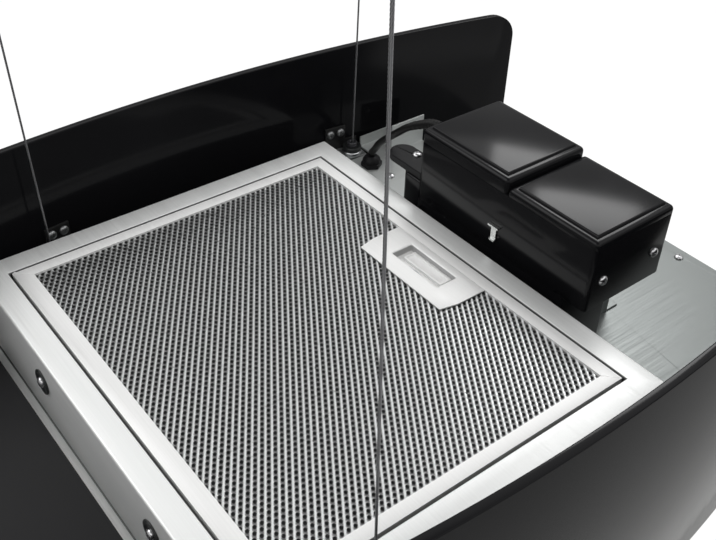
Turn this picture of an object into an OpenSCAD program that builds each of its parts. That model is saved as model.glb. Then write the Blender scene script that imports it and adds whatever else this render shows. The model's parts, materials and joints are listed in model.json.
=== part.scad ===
// Suspended range hood: two bowed black panels on both sides of a steel body that hangs on
// four thin cables. The origin is the middle of the hood, at the panels' lower edge. +X runs
// along the panels toward the electronics box, +Y toward the back panel, +Z up.

/* [Panels] */
// Length of the front and back panels
panel_len = 650; // [640:1:760]
// Height of the panels
panel_h = 236; // [226:1:290]
// Thickness of the panels
panel_t = 6; // [5.5:0.5:9]
// Gap between the outlet frame and a panel's inner face, at mid length
panel_gap = 31.5; // [29:0.1:45]
// Radius of the panels' inner faces, seen from above
panel_r = 1318; // [1280:1:1800]
// Radius of the panels' corners
panel_corner = 22; // [6:1:30]

/* [Casing] */
// Height of the deck's upper face above the panels' lower edge
deck_z = 109; // [104:1:120]
// Height of the casing floor's underside
floor_z = 6; // [4:0.5:10]
// Thickness of the casing and deck sheet
sheet = 1.5; // [1:0.1:2]
// How far the casing's ends stay inside the panels' ends
case_inset = 8; // [6:0.5:12]

/* [Outlet] */
// Distance of the outlet's centre from the hood's centre
outlet_off = 33.2; // [28:0.1:38]
// Height of the outlet frame above the deck
outlet_h = 61; // [58:1:70]
// Width of the flat rim along the outlet opening's long sides
rim_x = 17.7; // [16:0.1:19]
// Width of the flat rim along the opening's short sides
rim_y = 19; // [16:0.1:20]
// Wall of the outlet frame
outlet_t = 1.2; // [1:0.1:1.5]

/* [Filters] */
// Width of a filter, across its hinge
filter_w = 262; // [256:1:266]
// Length of a filter
filter_d = 318.4; // [300:0.4:320]
// Thickness of a filter
filter_t = 10; // [9.5:0.5:11]
// Gap round a filter
filter_gap = 1.6; // [1.4:0.1:2]
// Visible border of a filter, on three sides
border = 9.2; // [8:0.1:11]
// Visible border along the hinge
border_hinge = 12; // [11:0.1:14]
// Holes in the mesh, across and along
mesh_cols = 14; // [8:1:15]
mesh_rows = 20; // [10:1:20]

/* [Fan] */
// Radius of the impeller
fan_r = 105; // [90:1:108]
// Number of blades
blades = 11; // [7:1:15]
// Radius of the inlet ring's throat
throat_r = 70; // [60:1:72]

/* [Hanging] */
// Spacing of the cables along the hood, at the hood
hang_x = 279.6; // [270:0.1:290]
// Distance of the cables in from the panels' inner faces at mid length
hang_in = 20.3; // [19.3:0.1:21.3]
// Distance of the cables' middle from the hood's centre
hang_off = 16; // [10:0.5:20]
// Height of the ceiling above the panels' lower edge
ceiling_z = 545; // [520:1:900]
// Lean of each cable away from the hood's middle, in degrees
lean = 1.31; // [0:0.01:3]
// Radius of a cable
cable_r = 0.8; // [0.6:0.1:1.2]

/* [Electronics box] */
// Gap between the outlet frame and the box
box_gap = 9.9; // [8:0.1:15]
// Width of the box
box_w = 79; // [74:1:84]
// Near face of the box
box_front = -102; // [-110:1:-95]
// Far face of the box
box_back = 70; // [64:1:74]
// Where the two lids meet
lid_split = -20; // [-30:1:0]
// Height of the box's underside
box_z = 168; // [164:1:172]
// Height of the low lid's top
low_lid_z = 226.5; // [224:0.5:230]
// Height of the high lid's top
high_lid_z = 232; // [230.5:0.5:238]
// Wall of the box
box_t = 2; // [1.5:0.1:2.5]

/* [Hidden] */

// Small distances shared by the pieces
fit = 0.05;         // radial clearance of a running or seated round fit
seat = 0.15;        // clearance between flat faces that only lie near each other
cut = 1;            // how far a cutting solid runs past a face
fine = 48;          // facets of small round shapes
arc_fine = 720;     // facets of the panels' large arcs

// Overall places worked out from the sizes above
case_half = panel_len / 2 - case_inset;
wall_top = deck_z - sheet;
top_z = deck_z + outlet_h;
outlet_x = -outlet_off;
open_w = filter_w + 2 * filter_gap;
open_d = filter_d + 2 * filter_gap;
outlet_w = open_w + 2 * rim_x;
outlet_d = open_d + 2 * rim_y;
outlet_left = outlet_x - outlet_w / 2;
panel_in = outlet_d / 2 + panel_gap;
arc_c = panel_r - panel_in;
box_x = outlet_x + outlet_w / 2 + box_gap;

function face_y(x) = sqrt(panel_r * panel_r - x * x) - arc_c;

// Sheet metal screw: pan head, shank down to z = -length
screw_r = 1.95;
head_r = 3.75;
head_h = 2.4;
screw_len = 8;
screw_hole_r = 2.2;

module screw(length = screw_len) {
    translate([0, 0, -length])
        cylinder(r = screw_r, h = length + head_h / 2, $fn = fine);
    cylinder(r = head_r, h = head_h * 0.6, $fn = fine);
    translate([0, 0, head_h * 0.6])
        cylinder(r1 = head_r, r2 = head_r * 0.6, h = head_h * 0.4, $fn = fine);
}

module screw_hole(r = screw_hole_r, length = screw_len + cut) {
    translate([0, 0, -length])
        cylinder(r = r, h = length + cut, $fn = fine);
}

module tapped_hole(length = screw_len + cut) {
    screw_hole(screw_r + fit, length);
}

// A box given by its two corners
module block(a, b) {
    translate(a)
        cube(b - a);
}

module plate2d(w, d, at = [0, 0]) {
    translate([at[0] - w / 2, at[1] - d / 2])
        square([w, d]);
}

module ring_prism(w, d, t, z0, z1) {
    translate([0, 0, z0])
        linear_extrude(z1 - z0)
            difference() {
                plate2d(w, d);
                plate2d(w - 2 * t, d - 2 * t);
            }
}

// The hood's outline from above, between the panels, drawn in by inset
module lens2d(inset, half_len) {
    intersection() {
        translate([0, arc_c])
            circle(r = panel_r - inset, $fn = arc_fine);
        translate([0, -arc_c])
            circle(r = panel_r - inset, $fn = arc_fine);
        plate2d(2 * half_len, 2 * panel_in);
    }
}

// Where the cables hang, and the brackets that carry them
hang_y = 2 * (panel_in - hang_in);
hang_pts = [
    [hang_off - hang_x / 2, -hang_y / 2, -1, -1],
    [hang_off + hang_x / 2, -hang_y / 2, 1, -1],
    [hang_off - hang_x / 2, hang_y / 2, -1, 1],
    [hang_off + hang_x / 2, hang_y / 2, 1, 1]
];
shelf_z = 138;
shelf_t = 2;
shelf_top = shelf_z + shelf_t;
leg_top = 149;
ear_top = 163;
ear_from = 2;
bow_gap = 0.3;          // between a flat bracket and the bowed panel
bracket_in = 9.5;       // from the cable's axis to the bracket's inner face
bracket_long = 22;      // along the panel, toward the hood's middle
bracket_short = 10;     // along the panel, away from the middle
panel_screw_z = 157;
panel_screw_len = 6;
foot_from = 6;          // where the bracket's foot starts, toward the middle

function hang_angle(p) = atan2(p[0], abs(p[1]) + arc_c);
function hang_gap(p) = panel_r - norm([p[0], abs(p[1]) + arc_c]);

// Places children at a cable's foot: +Y toward the panel, +X toward the hood's middle
module at_bracket(p) {
    mirror([0, p[3] < 0 ? 1 : 0, 0])
        translate([p[0], abs(p[1]), 0])
            rotate([0, 0, -hang_angle(p)])
                mirror([p[2] > 0 ? 1 : 0, 0, 0])
                    children();
}

module at_panel_screws(p) {
    for (along = [7, 17])
        at_bracket(p)
            translate([along, hang_gap(p) - bow_gap - shelf_t, panel_screw_z])
                rotate([90, 0, 0])
                    children();
}

module at_bracket_feet() {
    for (p = hang_pts)
        at_bracket(p)
            translate([(foot_from + bracket_long) / 2, -1, deck_z + shelf_t])
                children();
}

// Panels

module panel() {
    difference() {
        intersection() {
            translate([0, -arc_c, 0])
                difference() {
                    cylinder(r = panel_r + panel_t, h = panel_h, $fn = arc_fine);
                    translate([0, 0, -cut])
                        cylinder(r = panel_r, h = panel_h + 2 * cut, $fn = arc_fine);
                }
            translate([0, panel_in + 2 * panel_t, 0])
                rotate([90, 0, 0])
                    linear_extrude(panel_in)
                        panel_outline();
        }
        for (p = hang_pts)
            if (p[3] > 0)
                at_panel_screws(p)
                    tapped_hole(panel_screw_len);
    }
}

module panel_outline() {
    half = panel_len / 2 - panel_corner;
    translate([-panel_len / 2, panel_corner])
        square([panel_len, panel_h - 2 * panel_corner]);
    translate([-half, 0])
        square([2 * half, panel_h]);
    for (x = [-half, half], z = [panel_corner, panel_h - panel_corner])
        translate([x, z])
            circle(r = panel_corner, $fn = fine);
}

module panel_back() {
    color("#141414")
        panel();
}

module panel_front() {
    color("#1c1c1c")
        mirror([0, 1, 0])
            panel();
}

module panel_screws() {
    color("#d8d8d8")
        for (p = hang_pts)
            at_panel_screws(p)
                screw(panel_screw_len);
}

// Casing, deck and what they carry

lamp_x = 245;
lamp_y = 90;
lamp_r = 31;
lamp_bezel = 4;
lamp_h = 30;
control_gap = 26.2;     // from the outlet's opening to the controls
control_y = -open_d / 2 - control_gap;
control_w = 132;
control_d = 23;
control_slot_w = 112;
control_slot_d = 15;
deck_tab = 8;
tab_h = 12;
deck_screw_out = 7.5;   // from the outlet frame's left edge to the nearest deck screws
deck_screw_x = deck_screw_out - outlet_left;
deck_screw_y = outlet_d / 2 - 4.8;
end_screw_x = case_half - 11;
end_screw_y = 60;
deck_pts = [
    for (x = [-deck_screw_x, deck_screw_x], y = [-deck_screw_y, deck_screw_y]) [x, y],
    for (x = [-end_screw_x, end_screw_x], y = [-end_screw_y, end_screw_y]) [x, y]
];
foot_in = 14;
foot_x = (outlet_w - foot_in) / 2 - outlet_t;
foot_y = 100;
foot_pts = [for (x = [-foot_x, foot_x], y = [-foot_y, foot_y]) [outlet_x + x, y]];

module at_points(points, z) {
    for (p = points)
        translate([p[0], p[1], z])
            children();
}

module casing() {
    color("#2a2a2c")
        difference() {
            translate([0, 0, floor_z])
                linear_extrude(wall_top - floor_z)
                    lens2d(seat, case_half);
            translate([0, 0, floor_z + sheet])
                linear_extrude(wall_top)
                    difference() {
                        lens2d(seat + sheet, case_half - sheet);
                        casing_tabs2d();
                    }
            translate([0, 0, floor_z + sheet])
                linear_extrude(wall_top - tab_h - floor_z - sheet)
                    lens2d(seat + sheet, case_half - sheet);
            translate([outlet_x, 0, floor_z - cut])
                linear_extrude(sheet + 2 * cut)
                    plate2d(open_w, open_d);
            at_points([for (x = [-lamp_x, lamp_x], y = [-lamp_y, lamp_y]) [x, y]], floor_z - cut)
                cylinder(r = lamp_r + seat, h = sheet + 2 * cut, $fn = fine);
            translate([outlet_x, control_y, floor_z - cut])
                linear_extrude(sheet + 2 * cut)
                    plate2d(control_slot_w, control_slot_d);
            at_points(deck_pts, deck_z)
                tapped_hole();
            at_points(plenum_pts, floor_z + 2 * sheet)
                tapped_hole();
            in_floor()
                filter_cuts(sheet);
        }
}

module casing_tabs2d() {
    at_points(deck_pts, 0)
        plate2d(2 * deck_tab, 2 * deck_tab);
    for (x = [-deck_screw_x, deck_screw_x], side = [-1, 1])
        translate([x - deck_tab, side > 0 ? deck_screw_y : -panel_in])
            square([2 * deck_tab, panel_in - deck_screw_y]);
    for (side = [-1, 1], y = [-end_screw_y, end_screw_y])
        translate([side > 0 ? end_screw_x : -case_half, y - deck_tab])
            square([case_half - end_screw_x, 2 * deck_tab]);
}

module deck() {
    color("#aeb2b0")
        difference() {
            translate([0, 0, wall_top])
                linear_extrude(sheet)
                    difference() {
                        lens2d(seat, case_half);
                        translate([outlet_x, 0])
                            plate2d(
                                outlet_w - 2 * (outlet_t + foot_in),
                                outlet_d - 2 * (outlet_t + foot_in)
                            );
                    }
            at_points(deck_pts, deck_z)
                screw_hole();
            at_points(foot_pts, deck_z + outlet_t)
                tapped_hole();
            at_bracket_feet()
                tapped_hole();
            at_points(cover_pts, deck_z + outlet_t)
                tapped_hole();
            at_points(support_pts, deck_z + sheet)
                tapped_hole();
            at_points(corner_feet, deck_z + sheet)
                tapped_hole();
        }
}

module sheet_screws() {
    color("#d8d8d8") {
        at_points(deck_pts, deck_z)
            screw();
        at_points(foot_pts, deck_z + outlet_t)
            screw(outlet_t + sheet + 3);
        at_bracket_feet()
            screw(shelf_t + sheet + 3);
        at_points(cover_pts, deck_z + outlet_t)
            screw(outlet_t + sheet + 3);
        at_points(support_pts, deck_z + sheet)
            screw(2 * sheet + 3);
        at_points(corner_feet, deck_z + sheet)
            screw(2 * sheet + 3);
        at_points([corner_screw], shelf_top)
            screw(sheet + 3);
        at_points(plenum_pts, floor_z + 2 * sheet)
            screw(2 * sheet + 1);
        at_upstand_screw()
            screw(sheet + 3);
    }
}

// Outlet frame

lip_d = filter_t + 0.2;
ledge = 8;
pin_r = 1.5;
pin_in = 2.2;           // hinge pin's axis, in from the filter's edge and down from its face
bolt_w = 12;
bolt_t = 2;
bolt_drop = 5.4;        // bolt's mid height below the filter's visible face
rail_screw_y = 72.5;
rail_screw_z = 147;
rail_screw_r = 3;
washer_r = 9;
washer_t = 1.5;

module outlet_box() {
    color("#e2e3e1")
        difference() {
            translate([outlet_x, 0, 0]) {
                ring_prism(outlet_w, outlet_d, outlet_t, deck_z, top_z);
                ring_prism(outlet_w, outlet_d, foot_in + outlet_t, deck_z, deck_z + outlet_t);
                translate([0, 0, top_z - outlet_t])
                    linear_extrude(outlet_t)
                        difference() {
                            plate2d(outlet_w, outlet_d);
                            plate2d(open_w, open_d);
                        }
                ring_prism(
                    open_w + 2 * outlet_t, open_d + 2 * outlet_t, outlet_t,
                    top_z - lip_d - outlet_t, top_z
                );
                ring_prism(
                    open_w + 2 * outlet_t, open_d + 2 * outlet_t, ledge + outlet_t,
                    top_z - lip_d - outlet_t, top_z - lip_d
                );
            }
            translate([outlet_x, 0, top_z])
                filter_cuts(outlet_t);
            translate([outlet_x - open_w / 2, -open_d / 2, top_z - lip_d - outlet_t - cut])
                cube([ledge, open_d, outlet_t + cut]);
            at_points(foot_pts, deck_z + outlet_t)
                screw_hole();
            at_rail_screws()
                screw_hole(rail_screw_r + fit);
        }
}

// Holes for a filter's two hinge pins and its bolt, in a frame whose wall is wall_t thick
module filter_cuts(wall_t) {
    translate([-filter_w / 2 + pin_in, 0, -pin_in])
        rotate([90, 0, 0])
            translate([0, 0, -(open_d / 2 + wall_t + cut)])
                cylinder(r = pin_r + fit, h = open_d + 2 * (wall_t + cut), $fn = fine);
    translate([open_w / 2 - cut, -bolt_w / 2 - seat, -bolt_drop - bolt_t / 2 - seat])
        cube([wall_t + 2 * cut, bolt_w + 2 * seat, bolt_t + 2 * seat]);
}

module at_rail_screws() {
    for (side = [-1, 1], y = [-rail_screw_y, rail_screw_y])
        translate([outlet_x + side * outlet_w / 2, y, rail_screw_z])
            rotate([0, side * 90, 0])
                children();
}

module rail_screws() {
    color("#1a1c1c")
        at_rail_screws() {
            cylinder(r = washer_r, h = washer_t, $fn = fine);
            translate([0, 0, washer_t])
                cylinder(r1 = washer_r * 0.66, r2 = washer_r * 0.45, h = 2, $fn = fine);
            translate([0, 0, -outlet_t - rail_t - 2])
                cylinder(r = rail_screw_r, h = outlet_t + rail_t + 2, $fn = fine);
        }
}

// Filters: the outlet's on top and the same one upside down in the floor. Each is drawn with
// the middle of its visible face at the origin and its body below.

skin = 1.2;
web = 1.5;
latch_w = 39;
latch_d = 92;
recess_w = 18;
recess_d = 48;
recess_h = 6.6;
recess_x = 6.6;         // from the plate's border side to the recess
slide_travel = 4;
bolt_reach = 3.2;       // past the frame's lip
mesh_t = 0.8;
win_w = filter_w - border - border_hinge;
win_d = filter_d - 2 * border;
win_x = (border_hinge - border) / 2;
win_right = filter_w / 2 - border;

module filter_frame_solid() {
    difference() {
        translate([0, 0, -filter_t])
            linear_extrude(filter_t)
                plate2d(filter_w, filter_d);
        translate([0, 0, -filter_t - cut])
            linear_extrude(filter_t + 2 * cut)
                plate2d(win_w, win_d, [win_x, 0]);
        translate([0, 0, -filter_t + skin])
            linear_extrude(filter_t - 2 * skin)
                plate2d(filter_w - 2 * web - pin_block, filter_d - 2 * web, [pin_block / 2, 0]);
        translate([win_right - cut, -bolt_w / 2 - seat, -bolt_drop - bolt_t / 2 - seat])
            cube([border + 2 * cut, bolt_w + 2 * seat, bolt_t + 2 * seat]);
    }
    for (side = [-1, 1])
        translate([-filter_w / 2 + pin_in, side * filter_d / 2, -pin_in])
            rotate([-side * 90, 0, 0])
                cylinder(r = pin_r, h = filter_gap + outlet_t, $fn = fine);
}

pin_block = 3;

// Staggered slots, cut clear of the latch plate
module mesh_sheet() {
    hole_w = win_w / (mesh_cols + 0.5) * 0.66;
    hole_d = win_d / (mesh_rows + 0.5) * 0.6;
    pitch_x = win_w / (mesh_cols + 0.5);
    pitch_y = win_d / (mesh_rows + 0.5);
    translate([0, 0, -skin - 0.1 - mesh_t])
        linear_extrude(mesh_t)
            difference() {
                plate2d(win_w + border, win_d + border, [win_x, 0]);
                translate([win_right - recess_x - recess_w / 2, 0])
                    plate2d(recess_w + 2 * web + 2 * seat, recess_d + 2 * web + 2 * seat);
                for (i = [0 : mesh_cols - 1], j = [0 : mesh_rows - 1])
                    mesh_hole(i, j, pitch_x, pitch_y, hole_w, hole_d);
            }
}

module mesh_hole(i, j, pitch_x, pitch_y, hole_w, hole_d) {
    x = win_x - win_w / 2 + (i + 0.5 + (j % 2) / 2) * pitch_x;
    y = -win_d / 2 + (j + 0.75) * pitch_y;
    clear_x = win_right - latch_w - hole_w / 2;
    clear_y = latch_d / 2 + hole_d / 2;
    if (x < clear_x || abs(y) > clear_y)
        translate([x, y])
            polygon([
                [-hole_w / 2, 0], [-hole_w / 4, -hole_d / 2], [hole_w / 4, -hole_d / 2],
                [hole_w / 2, 0], [hole_w / 4, hole_d / 2], [-hole_w / 4, hole_d / 2]
            ]);
}

module pack_solid() {
    top = -skin - 0.1 - mesh_t - seat;
    bottom = -filter_t + skin + seat;
    difference() {
        translate([0, 0, bottom])
            linear_extrude(top - bottom)
                plate2d(win_w + border, win_d + border, [win_x, 0]);
        translate([win_right - recess_x - recess_w / 2, 0, bottom - cut])
            linear_extrude(top - bottom + 2 * cut)
                plate2d(recess_w + 2 * web + 2 * seat, recess_d + 2 * web + 2 * seat);
        translate([win_right - recess_x, -bolt_w / 2 - seat, -bolt_drop - bolt_t / 2 - seat])
            cube([recess_x + border, bolt_w + 2 * seat, bolt_t + 2 * seat]);
    }
}

// Plate with a finger recess, its long side on the border opposite the hinge
module latch_plate_solid() {
    slope = 3;
    flat = skin + 0.1;
    recess_mid = win_right - recess_x - recess_w / 2;
    difference() {
        union() {
            translate([0, 0, -flat + seat])
                linear_extrude(flat - seat)
                    polygon([
                        [win_right - seat, -latch_d / 2], [win_right - seat, latch_d / 2],
                        [win_right - latch_w, latch_d / 2 - slope],
                        [win_right - latch_w, -latch_d / 2 + slope]
                    ]);
            translate([recess_mid, 0, -recess_h - web])
                linear_extrude(recess_h + web)
                    plate2d(recess_w + 2 * web, recess_d + 2 * web);
        }
        translate([recess_mid, 0, -recess_h])
            linear_extrude(recess_h + cut)
                plate2d(recess_w, recess_d);
        translate([win_right - recess_x - cut, -bolt_w / 2 - seat, -bolt_drop - bolt_t / 2 - seat])
            cube([web + 2 * cut, bolt_w + 2 * seat, bolt_t + 2 * seat]);
    }
}

module slide_solid() {
    right = win_right - recess_x - seat;
    grip_w = 10.8;
    grip_d = 40;
    leaf_join = 0.5;
    tip = open_w / 2 + outlet_t + bolt_reach - outlet_t;
    translate([right - grip_w, -grip_d / 2, -recess_h + seat])
        difference() {
            cube([grip_w, grip_d, recess_h - 2]);
            translate([2.5, 3, 1.5])
                cube([grip_w - 4, grip_d - 6, recess_h]);
        }
    translate([right - leaf_join, -bolt_w / 2, -bolt_drop - bolt_t / 2])
        cube([tip - right + leaf_join, bolt_w, bolt_t]);
}

// Leaf spring pressed flat against the recess wall, behind the slide
module spring_solid() {
    left = win_right - recess_x - recess_w;
    leaf = 0.5;
    bow = 2.6;
    half = 18;
    translate([left + seat, 0, -recess_h + seat])
        linear_extrude(3.6)
            polygon([
                [0, -half], [leaf, -half], [bow, 0], [leaf, half], [0, half], [bow - leaf, 0]
            ]);
}

module on_top() {
    translate([outlet_x, 0, top_z])
        children();
}

module in_floor() {
    translate([outlet_x, 0, floor_z])
        mirror([0, 0, 1])
            children();
}

module outlet_frame() {
    color("#e6e6e4")
        on_top()
            filter_frame_solid();
}

module outlet_mesh() {
    color("#8f9190")
        on_top()
            mesh_sheet();
}

module outlet_pack() {
    color("#161616")
        on_top()
            pack_solid();
}

module latch_plate() {
    color("#ececea")
        on_top()
            latch_plate_solid();
}

module latch_slide() {
    color("#d9dad8")
        on_top()
            slide_solid();
}

module latch_spring() {
    color("#b9bbbd")
        on_top()
            spring_solid();
}

module grease_frame() {
    color("#d9dad8")
        in_floor()
            filter_frame_solid();
}

module grease_mesh() {
    color("#a4a6a5")
        in_floor()
            mesh_sheet();
}

module grease_latch_plate() {
    color("#dededc")
        in_floor()
            latch_plate_solid();
}

module grease_slide() {
    color("#d9dad8")
        in_floor()
            slide_solid();
}

// Carbon cartridge on two rails inside the outlet frame

carbon_w = 244;
carbon_d = 300;
carbon_h = 21;
carbon_z = 130;
carbon_wall = 3;
rail_t = 1.5;
rail_len = 280;
rail_top = 156;
carbon_floor = carbon_z + carbon_wall;

module carbon_rails() {
    color("#b4b8b6")
        difference() {
            for (side = [-1, 1])
                rail(side);
            at_rail_screws()
                screw_hole(rail_screw_r + fit, outlet_t + rail_t + 2 * cut);
        }
}

module rail(side) {
    wall = outlet_w / 2 - outlet_t - seat;
    reach = wall - carbon_w / 2 + 5;
    translate([outlet_x, 0, 0])
        mirror([side < 0 ? 1 : 0, 0, 0]) {
            block([wall - rail_t, -rail_len / 2, carbon_z - rail_t], [wall, rail_len / 2, rail_top]);
            block([wall - reach, -rail_len / 2, carbon_z - rail_t], [wall, rail_len / 2, carbon_z]);
        }
}

module carbon_case() {
    bars = 5;
    color("#26282a")
        translate([outlet_x, 0, carbon_z + seat])
            difference() {
                linear_extrude(carbon_h)
                    plate2d(carbon_w, carbon_d);
                translate([0, 0, carbon_wall])
                    linear_extrude(carbon_h)
                        plate2d(carbon_w - 2 * carbon_wall, carbon_d - 2 * carbon_wall);
                for (i = [0 : bars - 1], j = [0 : bars - 1])
                    translate([
                        (i - (bars - 1) / 2) * carbon_w / (bars + 0.4),
                        (j - (bars - 1) / 2) * carbon_d / (bars + 0.4),
                        -cut
                    ])
                        linear_extrude(carbon_wall + 2 * cut)
                            plate2d(carbon_w / (bars + 2), carbon_d / (bars + 2));
            }
}

module carbon_fill() {
    color("#101010")
        translate([outlet_x, 0, carbon_floor + 2 * seat])
            linear_extrude(carbon_h - carbon_wall - 1)
                plate2d(carbon_w - 2 * (carbon_wall + seat), carbon_d - 2 * (carbon_wall + seat));
}

// Fan: inlet plenum over the lower filter, ring, bridge, motor and impeller

plenum_z = 42;
plenum_flange = 9;
plenum_x = (open_w + plenum_flange) / 2 + sheet;
plenum_y = 110;
plenum_pts = [for (x = [-plenum_x, plenum_x], y = [-plenum_y, plenum_y]) [outlet_x + x, y]];
ring_flange = 12;
ring_bolt_z = plenum_z + sheet;
fan_z = 50;
fan_h = 55;
fan_gap = 1;             // between the inlet ring and the impeller
plate_t = 1.5;
eye_r = throat_r + 6;
rotor_r = 46;
rotor_z = 68;
rotor_h = 38;
rotor_wall = 3;
core_r = 35;
shaft_r = 4;
tube_r = 9;
bridge_z = 118;
bridge_w = 50;
bridge_x = 118;
bridge_foot = 12;
mount_r = 6;
mount_h = 4;
flange_r = 40;
flange_t = 4;
mount_off = 22;         // from the motor's axis to each mount, along X and along Y
mount_pts = [for (x = [-mount_off, mount_off], y = [-mount_off, mount_off]) [outlet_x + x, y]];
bridge_pts = [
    for (x = [-1, 1], y = [-1, 1])
        [outlet_x + x * (bridge_x + sheet + bridge_foot / 2), y * bridge_w / 4]
];
motor_bolt_r = 2;

module plenum() {
    wall_w = open_w + 2 * sheet;
    wall_d = open_d + 2 * sheet;
    color("#9da1a0")
        difference() {
            translate([outlet_x, 0, 0]) {
                ring_prism(wall_w, wall_d, sheet, floor_z + sheet, plenum_z + sheet);
                ring_prism(
                    wall_w + 2 * plenum_flange, wall_d + 2 * plenum_flange, plenum_flange + sheet,
                    floor_z + sheet, floor_z + 2 * sheet
                );
                translate([0, 0, plenum_z])
                    linear_extrude(sheet)
                        plate2d(wall_w, wall_d);
            }
            translate([outlet_x, 0, plenum_z - cut])
                cylinder(r = throat_r + 4, h = sheet + 2 * cut, $fn = 2 * fine);
            in_floor()
                filter_cuts(sheet);
            at_points(plenum_pts, floor_z + 2 * sheet)
                screw_hole();
            at_points(bridge_pts, plenum_z + 2 * sheet)
                screw_hole(motor_bolt_r + fit);
        }
}

module inlet_ring() {
    rise = fan_z - fan_gap - ring_bolt_z;
    bell = 6;
    color("#c4c8c6")
        translate([outlet_x, 0, ring_bolt_z])
            rotate_extrude($fn = 2 * fine)
                difference() {
                    translate([throat_r, 0])
                        square([ring_flange + bell, rise]);
                    translate([throat_r + plate_t, plate_t])
                        square([ring_flange + bell, rise]);
                }
}

module motor_bridge() {
    color("#b0b4b2")
        difference() {
            translate([outlet_x, 0, 0]) {
                block(
                    [-bridge_x - sheet, -bridge_w / 2, bridge_z],
                    [bridge_x + sheet, bridge_w / 2, bridge_z + sheet]
                );
                for (side = [-1, 1])
                    mirror([side < 0 ? 1 : 0, 0, 0]) {
                        block(
                            [bridge_x, -bridge_w / 2, ring_bolt_z],
                            [bridge_x + sheet, bridge_w / 2, bridge_z + sheet]
                        );
                        block(
                            [bridge_x, -bridge_w / 2, ring_bolt_z],
                            [bridge_x + sheet + bridge_foot, bridge_w / 2, ring_bolt_z + sheet]
                        );
                    }
            }
            at_points(mount_pts, bridge_z + sheet)
                screw_hole(motor_bolt_r + fit);
            at_points(bridge_pts, ring_bolt_z + sheet)
                screw_hole(motor_bolt_r + fit);
        }
}

module motor_mounts() {
    color("#1a1a1a")
        at_points(mount_pts, bridge_z - mount_h)
            difference() {
                cylinder(r = mount_r, h = mount_h, $fn = fine);
                translate([0, 0, -cut])
                    cylinder(r = motor_bolt_r + fit, h = mount_h + 2 * cut, $fn = fine);
            }
}

module motor_bolts() {
    color("#c9cacb") {
        at_points(mount_pts, bridge_z + sheet) {
            cylinder(r = 3.5, h = 2.6, $fn = 6);
            translate([0, 0, -sheet - mount_h - flange_t])
                cylinder(r = motor_bolt_r, h = sheet + mount_h + flange_t, $fn = fine);
        }
        at_points(bridge_pts, ring_bolt_z + sheet) {
            cylinder(r = 3.5, h = 2.6, $fn = 6);
            translate([0, 0, -2 * sheet - 3])
                cylinder(r = motor_bolt_r, h = 2 * sheet + 3, $fn = fine);
        }
    }
}

module motor_stator() {
    flange_z = bridge_z - mount_h - flange_t;
    core_z = rotor_z + rotor_wall + 3;
    color("#8c6a3c")
        difference() {
            union() {
                translate([outlet_x, 0, flange_z])
                    cylinder(r = flange_r, h = flange_t, $fn = 2 * fine);
                translate([outlet_x, 0, core_z])
                    cylinder(r = tube_r, h = flange_z - core_z + 1, $fn = fine);
                translate([outlet_x, 0, core_z])
                    cylinder(r = core_r, h = flange_z - core_z - 4, $fn = 2 * fine);
            }
            translate([outlet_x, 0, core_z - cut])
                cylinder(r = shaft_r + fit, h = flange_z - core_z, $fn = fine);
            at_points(mount_pts, flange_z + flange_t)
                screw_hole(motor_bolt_r + fit, flange_t + cut);
        }
}

module motor_shaft() {
    color("#d0d2d4")
        translate([outlet_x, 0, rotor_z])
            cylinder(r = shaft_r, h = bridge_z - mount_h - flange_t - rotor_z - 2, $fn = fine);
}

module motor_rotor() {
    color("#5b5f63")
        translate([outlet_x, 0, rotor_z])
            difference() {
                union() {
                    cylinder(r = rotor_r, h = rotor_h, $fn = 2 * fine);
                    translate([0, 0, fan_z + fan_h - rotor_z - 2 * plate_t - seat])
                        cylinder(r = rotor_r + 8, h = plate_t, $fn = 2 * fine);
                }
                translate([0, 0, rotor_wall])
                    cylinder(r = rotor_r - rotor_wall, h = rotor_h, $fn = 2 * fine);
                translate([0, 0, -cut])
                    cylinder(r = shaft_r + fit, h = rotor_wall + 2 * cut, $fn = fine);
            }
}

// Backward-curved blades between a ring below and a disc above
module impeller() {
    blade_in = rotor_r + 14;
    blade_t = 1.5;
    curve_r = 62;
    color("#3a3d40")
        translate([outlet_x, 0, fan_z]) {
            difference() {
                cylinder(r = fan_r, h = plate_t, $fn = 2 * fine);
                translate([0, 0, -cut])
                    cylinder(r = eye_r, h = plate_t + 2 * cut, $fn = 2 * fine);
            }
            translate([0, 0, fan_h - plate_t])
                difference() {
                    cylinder(r = fan_r, h = plate_t, $fn = 2 * fine);
                    translate([0, 0, -cut])
                        cylinder(r = rotor_r + seat, h = plate_t + 2 * cut, $fn = 2 * fine);
                }
            for (i = [0 : blades - 1])
                rotate([0, 0, i * 360 / blades])
                    translate([0, 0, plate_t / 2])
                        linear_extrude(fan_h - plate_t)
                            intersection() {
                                blade2d(curve_r, blade_t, (blade_in + fan_r) / 2);
                                difference() {
                                    circle(r = fan_r - 1, $fn = 2 * fine);
                                    circle(r = blade_in, $fn = 2 * fine);
                                }
                            }
        }
}

module blade2d(curve_r, blade_t, mid_r) {
    intersection() {
        translate([mid_r - 18, -curve_r + 6])
            difference() {
                circle(r = curve_r, $fn = 2 * fine);
                circle(r = curve_r - blade_t, $fn = 2 * fine);
            }
        translate([0, -fan_r / 3])
            square([fan_r + cut, fan_r * 0.6]);
    }
}

// Lamps and controls in the floor

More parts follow.
